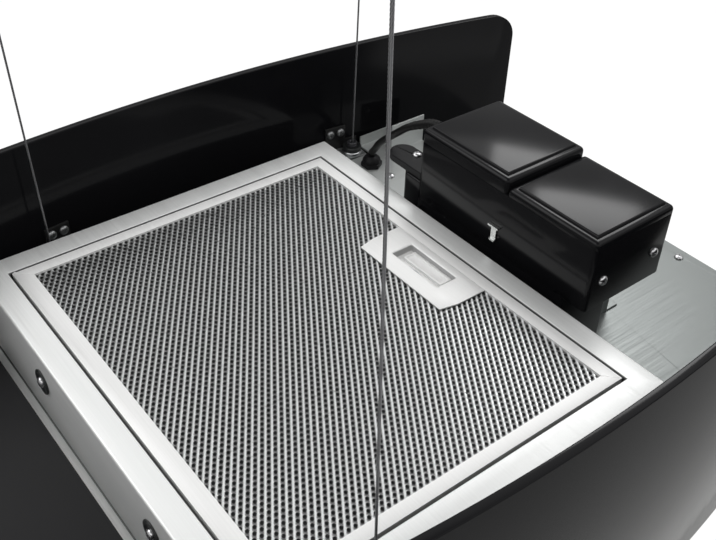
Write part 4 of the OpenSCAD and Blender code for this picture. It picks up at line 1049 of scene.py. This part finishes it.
for kind, upside_down, finish, plate, slide in (
        ("outlet", False, "plate", "latch_plate", "latch_slide"),
        ("grease", True, "latch", "grease_latch_plate", "grease_slide")):
    dress(latch_plate(kind + "_catch_plate", upside_down), finish, plate)
    dress(latch_slide(kind + "_catch_slide", upside_down), "latch", slide)

# %% [markdown]
# With the finishes ready, the ropes, their ceiling cups and the lead get theirs.

# %% Hand over ropes and lead
for rope, cup, (x, y, side) in zip(ropes, cups, hangs):
    dress(rope, "cable", "cables")
    dress(cup, "gripper", "ceiling_cups")
for piece in (lead, sleeve):
    piece.data.materials.append(finishes["cord"])
    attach(piece, "hood")
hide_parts("lead")

# %% [markdown]
# The electronics box is moulded in gloss black plastic: a stepped body and two lids of
# different height. A moulded lid has round shoulders and a raised panel, so each lid's rim is
# bevelled first and its top is then inset and lifted.

# %% The box and its lids
BOX_LEFT, BOX_RIGHT, BOX_FRONT, BOX_BACK = 127, 206, -102, 70
BOX_LOW, BOX_JOINT, LID_SPLIT, LID_GAP = 168, 219, -20, 0.15
LID_LOW_TOP, LID_HIGH_TOP = 226.5, 232
LID_STEP, LID_RIM, LID_TAPER, LID_SOFT, BOX_ROUND = 1.8, 1.6, 0.975, 0.9, 3.4
LOWER_RIGHT, LOWER_FRONT, LOWER_ROUND = 178, -83, 1.5
STEP_TOP, STEP_BACK, TAIL_LEFT, TAIL_BACK = 183, 86, 138, 99


def moulded_lid(name, front, back, top):
    lid = cube_between(
        name, (BOX_LEFT, front, BOX_JOINT + LID_GAP), (BOX_RIGHT, back, top - LID_STEP))
    pick_edges(lid, lambda a, b: is_upright(a, b) or min(a.z, b.z) > top - LID_STEP - 0.5)
    bevel_edges(BOX_ROUND, 5)
    done_editing()
    pick_faces(lid, lambda middle, normal: normal.z > 0.99)
    inset(LID_RIM)
    push(0, 0, LID_STEP)
    bpy.ops.transform.resize(value=(LID_TAPER, LID_TAPER, 1))
    bevel_edges(LID_SOFT, 3)
    done_editing()
    smooth(lid, 40)
    return lid


def rounded_block(name, low, high):
    """A block whose upright corners and upper rim have a wide round."""
    block = cube_between(name, low, high)
    pick_edges(block, lambda a, b: is_upright(a, b) or min(a.z, b.z) > high[2] - 0.1)
    bevel_edges(LOWER_ROUND, 5, clamp=True)
    done_editing()
    rounded(block, 0.5, 2, 50)
    return block


for level, front, back, top in (
        ("low", BOX_FRONT, LID_SPLIT - LID_GAP, LID_LOW_TOP),
        ("high", LID_SPLIT, BOX_BACK, LID_HIGH_TOP)):
    dress(moulded_lid("box_lid_" + level, front, back, top), "box", "lid_" + level)
upper = cube_between("box_body", (BOX_LEFT, BOX_FRONT, BOX_LOW), (BOX_RIGHT, BOX_BACK, BOX_JOINT))
pick_edges(upper, is_upright)
bevel_edges(BOX_ROUND, 5)
done_editing()
rounded(upper, 0.5, 2, 50)
under = [
    rounded_block("lower", (BOX_LEFT, LOWER_FRONT, DECK), (LOWER_RIGHT, BOX_BACK, BOX_LOW + 2)),
    rounded_block("step", (BOX_LEFT, BOX_BACK - 2, DECK), (LOWER_RIGHT, STEP_BACK, STEP_TOP)),
    rounded_block("tail", (TAIL_LEFT, BOX_BACK - 2, DECK), (LOWER_RIGHT, TAIL_BACK, STEP_TOP))]
dress(joined("box_body", upper, *under), "box", "box_tub")

# %% [markdown]
# Screws repeat all over the hood, so one pan head is turned, two thin blocks cut its cross
# recess, and copies of it go to every screw's place, each turned a little differently. The
# places are written as the rows they stand in: on the deck, on the outlet's flange inside the
# frame, on the cover, on the box's support, and on the corner shelf.

# %% Screws on the sheets
SCREW_TOP, CROSS_HALF, CROSS_WIDE, CROSS_DEEP = 2.4, 2.1, 0.8, 1.3
SCREW_PROFILE = [
    (0, SCREW_TOP), (1.6, 2.3), (2.7, 1.95), (3.4, 1.3), (3.75, 0.6), (3.75, 0), (1.95, 0),
    (1.95, -6), (1.2, -7), (0, -7)]
TURN_A_SCREW = 1.1
COVER_LEFT, COVER_GAP = -296, 10.2
SUPPORT_SHEET, BRACKET_SHEET, SHELF_TOP, FLOOR_TOP = 1.5, 2, 140, 9
DECK_SCREWS, END_SCREWS, COVER_SCREWS_Y = (191, 175), (306, 60), 161
FLANGE_SCREWS_Y, FLOOR_SCREWS_X, FLOOR_SCREWS_Y = 100, 138.6, 110
BOX_FOOT_SCREWS, SHELF_FOOT_SCREWS = ([209.15], (-50, 30)), ((131, 229), [140])
SHELF_SCREW, UPSTAND_SCREW = (158, 139, SHELF_TOP), (189, 170, 158)


def cross_recessed(screw):
    """Cuts a cross recess into a screw's head."""
    half = CROSS_WIDE / 2
    bars = [
        cube_between("bar", (-x, -y, SCREW_TOP - CROSS_DEEP), (x, y, SCREW_TOP + 1))
        for x, y in ((CROSS_HALF, half), (half, CROSS_HALF))]
    cut_out(screw, *bars)
    smooth(screw, 35)
    return screw


def screws_piece(name, master, places, node, finish="screws"):
    made = [
        copy_at(master, name, place, axis, TURN_A_SCREW * i)
        for i, (place, axis) in enumerate(places)]
    dress(joined(name, *made), finish, node)


def standing(xs, ys, z):
    """Screws that stand upright where lines across and lines along meet."""
    return [((x, y, z), UP) for x in xs for y in ys]


def both(reach, middle=0):
    """Two places, as far to one side of the middle as to the other."""
    return middle - reach, middle + reach


screw = cross_recessed(turned("screw", SCREW_PROFILE))
flange_x = OUTLET_HALF_X - 7 - SHEET
cover_middle = (COVER_LEFT + OUTLET_X - OUTLET_HALF_X - COVER_GAP) / 2
deck_places = [
    *standing(*map(both, DECK_SCREWS), DECK),
    *standing(*map(both, END_SCREWS), DECK),
    *standing(both(flange_x, OUTLET_X), both(FLANGE_SCREWS_Y), DECK + SHEET),
    *standing([cover_middle], both(COVER_SCREWS_Y), DECK + SHEET),
    *standing(*BOX_FOOT_SCREWS, DECK + SUPPORT_SHEET),
    *standing(*SHELF_FOOT_SCREWS, DECK + SUPPORT_SHEET),
    (SHELF_SCREW, UP),
    (UPSTAND_SCREW, (0, -1, 0)),
    *standing(both(FLOOR_SCREWS_X, OUTLET_X), both(FLOOR_SCREWS_Y), FLOOR_TOP)]
print(len(deck_places), "screws on the sheets")

# %% [markdown]
# Each corner bracket has a foot on the deck and a tall flange against the panel. A point on a
# bracket is given along the panel and toward it, because the panel leans away on its arc.

# %% Screws on the brackets and the box
BRACKET_FOOT, FLANGE_ALONG, FLANGE_SHEET, FLANGE_GAP, FLANGE_Z = 14, (7, 17), 2, 0.3, 157
FRONT_SCREWS_X, FRONT_SCREWS_Z, TAIL_SCREW = (140, 193), 190.5, (144.5, 93, 189)


def turn_at(x, y):
    """How far the panel has turned on its arc beside a point."""
    return math.atan2(x, abs(y) + ARC_CENTRE)


def at_bracket(hang, along, across, high):
    """A point of a bracket: along the panel toward the hood's middle, and toward the panel."""
    x, y, side = hang
    turn = turn_at(x, y)
    inward = -side * along
    px = x + inward * math.cos(turn) + across * math.sin(turn)
    py = abs(y) - inward * math.sin(turn) + across * math.cos(turn)
    return px, math.copysign(py, y), high


panel_places = []
for hang in hangs:
    x, y, side = hang
    turn = turn_at(x, y)
    gap = PANEL_RADIUS - math.hypot(x, abs(y) + ARC_CENTRE)
    deck_places.append((at_bracket(hang, BRACKET_FOOT, -1, DECK + BRACKET_SHEET), UP))
    off_panel = (-math.sin(turn), -math.copysign(math.cos(turn), y), 0)
    panel_places += [
        (at_bracket(hang, along, gap - FLANGE_GAP - FLANGE_SHEET, FLANGE_Z), off_panel)
        for along in FLANGE_ALONG]
box_places = [
    *(((x, BOX_FRONT, FRONT_SCREWS_Z), (0, -1, 0)) for x in FRONT_SCREWS_X), (TAIL_SCREW, UP)]
screws_piece("deck_screws", screw, deck_places, "sheet_screws")
screws_piece("panel_fixing_screws", screw, panel_places, "panel_screws", "zinc")
screws_piece("box_case_screws", screw, box_places, "box_screws")

# %% [markdown]
# Two rail screws hold the runners inside each long wall of the outlet. The head of each sits
# in the dish of a black washer.

# %% Rail screws
RAIL_Y, RAIL_Z, WASHER, WASHER_T, WASHER_DISH = 72.5, 147, 9, 1.5, 0.5
rail_places = [
    ((OUTLET_X + side * OUTLET_HALF_X, y, RAIL_Z), (side, 0, 0))
    for side in (-1, 1) for y in (-RAIL_Y, RAIL_Y)]
washer = turned("washer", [
    (0, 0), (WASHER - 0.4, 0), (WASHER, 0.4), (WASHER, WASHER_T - 0.4), (WASHER - 0.4, WASHER_T),
    (6.4, WASHER_T), (5.6, WASHER_T - WASHER_DISH), (0, WASHER_T - WASHER_DISH)], 32)
head_places = [
    ((place[0] + axis[0] * (WASHER_T - WASHER_DISH), *place[1:]), axis)
    for place, axis in rail_places]
screws_piece("rail_washers", washer, rail_places, "rail_screws", "knob")
screws_piece("rail_screw_heads", screw, head_places, "rail_screws")
thrown_away(screw, washer)

# %% [markdown]
# Each rope is held by a gripper on its bracket: a nickel flange on the shelf, a black knurled
# ring on top, and in the middle a sleeve that frees the rope while it is pressed. A nut clamps
# the gripper from below. Every part is turned; the knurl moves each second rim point inward.

# %% Grippers and their release sleeves
FLANGE, BORE, SLEEVE_FOOT = 8.5, 1.5, 144.5
NUT_LOW, NUT_HIGH, NUT_R = -7.15, -2.15, 6.5
KNURLS, KNURL_FROM, KNURL_DEEP = 48, 8.2, 0.4


def notched(obj, steps, every, first, from_reach, depth):
    """Moves the rim points of every so many steps round the axis inward."""
    for point in obj.data.vertices:
        reach = point.co.xy.length / MM
        step = round(math.atan2(point.co.y, point.co.x) / (2 * math.pi) * steps)
        if reach > from_reach and step % every == first:
            point.co.xy *= (reach - depth) / reach


base = turned("base", [
    (BORE, -8), (3.5, -8), (4, -7.5), (4, 0), (8.1, 0), (FLANGE, 0.4), (FLANGE, 2), (8, 2.5),
    (4.7, 2.5), (4.7, 1.9), (BORE, 1.9), (BORE, -8)], 36)
nut = rod("nut", (0, 0, NUT_LOW), (0, 0, NUT_HIGH), NUT_R, 6)
rounded(nut, 0.4, 2)
base = joined("base", base, nut)
ring = turned("ring", [
    (4.6, 2.6), (7.8, 2.6), (FLANGE, 3.2), (FLANGE, 6.2), (7.8, 7), (5.2, 7), (4.6, 6.5),
    (4.6, 2.6)], KNURLS)
notched(ring, KNURLS, 2, 1, KNURL_FROM, KNURL_DEEP)
release = turned("release", [
    (BORE, 0), (4.1, 0), (4.5, 0.3), (4.5, 3.4), (4.1, 3.7), (4.1, 4.2), (4.5, 4.5), (4.5, 5.4),
    (3.9, 6), (2.3, 6), (BORE, 5.4), (BORE, 0)], 32)
for hang in hangs:
    x, y, side = hang
    corner = corner_of(hang)
    for master, kind, finish in (
            (base, "gripper_base_", "gripper"), (ring, "gripper_ring_", "knob")):
        dress(copy_at(master, kind + corner, (x, y, SHELF_TOP)), finish, "grippers")
    sleeve = copy_at(release, "release_sleeve_" + corner, (x, y, SLEEVE_FOOT))
    dress(sleeve, "collar", "collar_" + corner)
thrown_away(base, ring, release)

# %% [markdown]
# The lead goes down through a plastic cable gland: a hexagonal body on the shelf, a ribbed dome
# that squeezes the seal, and a lock nut under the sheet.

# %% The cable gland
GLAND_X, GLAND_Y, GLAND_R, GLAND_TOP = 156, 163, 9.5, 10
HEXAGONS, STEM, STEM_R = ((0, 4), (-5.5, -1.5)), (-9.4, 0.5), 4.9
DOME_STEPS, RIB_FROM, RIB_DEEP = 36, 6, 0.5
THROAT = LEAD_RADIUS + 0.05
gland_parts = [rod("hexagon", (0, 0, low), (0, 0, high), GLAND_R, 6) for low, high in HEXAGONS]
for part in gland_parts:
    rounded(part, 0.5, 2)
dome = turned("dome", [
    (THROAT, 4), (7.9, 4), (7.9, 6), (7.4, 7.2), (6.3, 8.6), (4.9, 9.7), (4.2, GLAND_TOP),
    (THROAT, GLAND_TOP), (THROAT, 4)], DOME_STEPS)
notched(dome, DOME_STEPS, 3, 0, RIB_FROM, RIB_DEEP)
stem = rod("stem", (0, 0, STEM[0]), (0, 0, STEM[1]), STEM_R, 32)
gland = moved(joined("cable_gland", *gland_parts, dome, stem), (GLAND_X, GLAND_Y, SHELF_TOP))
dress(gland, "plastic_dark", "gland")

# %% [markdown]
# Four round lamps shine down from the floor. A lamp is a deep drawn can with a rolled bezel,
# turned from one section, and a frosted lens whose face has fine rings.

# %% The lamps
LAMP_X, LAMP_Y = 245, 90
LENS, LENS_LOW, LENS_RINGS, RING_DEEP = 27.9, 5.2, 22, 0.25
can = turned("can", [
    (0, 34.5), (29.6, 34.5), (31, 33.2), (31, 5.85), (35, 5.85), (35, 5), (34.3, 4.5), (29, 4.6),
    (28.05, 5.4), (28.05, 10.5), (26, 10.5), (26, 32.6), (25.4, 33.3), (0, 33.3)], 64)
rings = [(LENS * i / LENS_RINGS, LENS_LOW + RING_DEEP * (i % 2)) for i in range(LENS_RINGS)]
lens = turned("lens", rings + [
    (LENS - 0.4, LENS_LOW), (LENS, 5.6), (LENS, 10.4), (0, 10.4)], 64)
for master, name, finish, node in (
        (can, "lamp_cans", "lamp", "lamp_housings"), (lens, "lamp_glasses", "lens", "lamp_lenses")):
    made = [
        copy_at(master, name, (x, y, 0)) for x in (-LAMP_X, LAMP_X) for y in (-LAMP_Y, LAMP_Y)]
    dress(joined(name, *made), finish, node)
thrown_away(can, lens)

# %% [markdown]
# Three push buttons reach through the control plate. Each cap is dished where a finger presses
# and has a flange that keeps it from falling out.

# %% The buttons
CONTROL_Y, BUTTON_PITCH = -187, 30
CAP_HALF_X, CAP_HALF_Y, CAP_LOW, CAP_HIGH = 8, 4.5, 2.1, 9.6
LUG_HALF_X, LUG_HALF_Y, LUG_LOW, LUG_HIGH = 9.5, 6, 6, 7
DISH_STEPS = ((1.3, 0.5), (1.2, 0.25))
for i, kind in enumerate(("light", "speed", "power")):
    x = OUTLET_X + (i - 1) * BUTTON_PITCH
    cap = cube_between(
        "cap", (x - CAP_HALF_X, CONTROL_Y - CAP_HALF_Y, CAP_LOW),
        (x + CAP_HALF_X, CONTROL_Y + CAP_HALF_Y, CAP_HIGH))
    lug = cube_between(
        "lug", (x - LUG_HALF_X, CONTROL_Y - LUG_HALF_Y, LUG_LOW),
        (x + LUG_HALF_X, CONTROL_Y + LUG_HALF_Y, LUG_HIGH))
    pick_faces(cap, lambda centre, normal: normal.z < -0.9)
    for rim, dish in DISH_STEPS:
        inset(rim)
        shift(0, 0, dish)
    done_editing()
    rounded(cap, 0.5, 3, 20)
    rounded(lug, 0.25, 2)
    dress(joined(kind + "_button_cap", cap, lug), "button", "button_" + kind)

# %% [markdown]
# The room has a plain pale floor far below the hanging hood. To the camera the floor glows
# white, while the light that it gives back to the object is that of a matt pale floor.

# %% The floor
WHITE = (1, 1, 1, 1)
FLOOR_SIZE, FLOOR_LEVEL = 14, -1.5
GLOW, GLOW_SHARE = 1.1, 0.85
deselect()
bpy.ops.mesh.primitive_plane_add(size=FLOOR_SIZE, location=(0, 0, FLOOR_LEVEL))
floor = bpy.context.object
floor.name = "floor"
floor_paint = base_finish("floor paint", (0.82, 0.82, 0.81), 0.9)
glow = added(floor_paint, "Emission", {"Color": WHITE, "Strength": GLOW})
to_camera = added(floor_paint, "LightPath").outputs["Is Camera Ray"]
blend = added(floor_paint, "MixShader", {
    0: maths(floor_paint, "MULTIPLY", to_camera, GLOW_SHARE),
    1: floor_paint.node_tree.nodes["Principled BSDF"].outputs["BSDF"],
    2: glow.outputs["Emission"]})
into(floor_paint, blend.outputs["Shader"], "Surface", "Material Output")
floor.data.materials.append(floor_paint)
print("floor at", FLOOR_LEVEL, "m")

# %% [markdown]
# A studio lights gloss black with broad bands: dim walls, a bright band of soft boxes above
# them and a dark ceiling. The lids and the rims mirror those bands, which is what makes black
# plastic look glossy. The bands are strengths at heights of the sky, 0 at the horizon and 1
# overhead. The camera, and light that has passed through glass, see plain white instead.

# %% The sky
SKY = [(0.0, 0.4), (0.51, 0.4), (0.56, 1.25), (0.80, 1.1), (0.98, 0.12)]
world = bpy.data.worlds.new("studio")
bpy.context.scene.world = world
world.use_nodes = True
world.node_tree.nodes["Background"].inputs["Color"].default_value = WHITE
bands = added(world, "ValToRGB", {"Fac": place_of(world, "Generated")["Z"]})
while len(bands.color_ramp.elements) < len(SKY):
    bands.color_ramp.elements.new(0.5)
for stop, (height, strength) in zip(bands.color_ramp.elements, SKY):
    stop.position = height
    stop.color = (strength, strength, strength, 1)
ray = added(world, "LightPath").outputs
white_for = maths(world, "MAXIMUM", ray["Is Camera Ray"], ray["Is Transmission Ray"])
strength_seen = maths(world, "MAXIMUM", white_for, bands.outputs["Color"])
into(world, strength_seen, "Strength", "Background")
print("sky of", len(SKY), "stops")

# %% [markdown]
# Three soft lamps finish the light: a key lamp behind the hood for the shadows, a small soft
# box that the low lid mirrors as a bright patch, and a low lamp for the front panel.

# %% The lamps of the studio
def lamp(name, place, target, size, power, high=None):
    """An area lamp at a place, aimed at a target; high makes it a rectangle."""
    deselect()
    bpy.ops.object.light_add(type="AREA", location=place)
    light = bpy.context.object
    light.name = name
    light.data.size = size
    light.data.energy = power
    if high:
        light.data.shape = "RECTANGLE"
        light.data.size_y = high
    aim = (Vector(target) - Vector(place)).to_track_quat("-Z", "Y")
    light.rotation_euler = aim.to_euler()


HOOD_MIDDLE, LID_MIDDLE = (0, 0, 0.1), (0.155, -0.065, 0.226)
lamp("key lamp", (-1.0, 1.2, 1.8), HOOD_MIDDLE, 1.4, 11)
lamp("soft box", (0.722, 0.340, 0.824), LID_MIDDLE, 0.34, 1.6, 0.26)
lamp("low lamp", (0.6, -1.8, 0.2), HOOD_MIDDLE, 1.2, 2)
bpy.context.scene.view_settings.view_transform = "Standard"
print("room is ready")
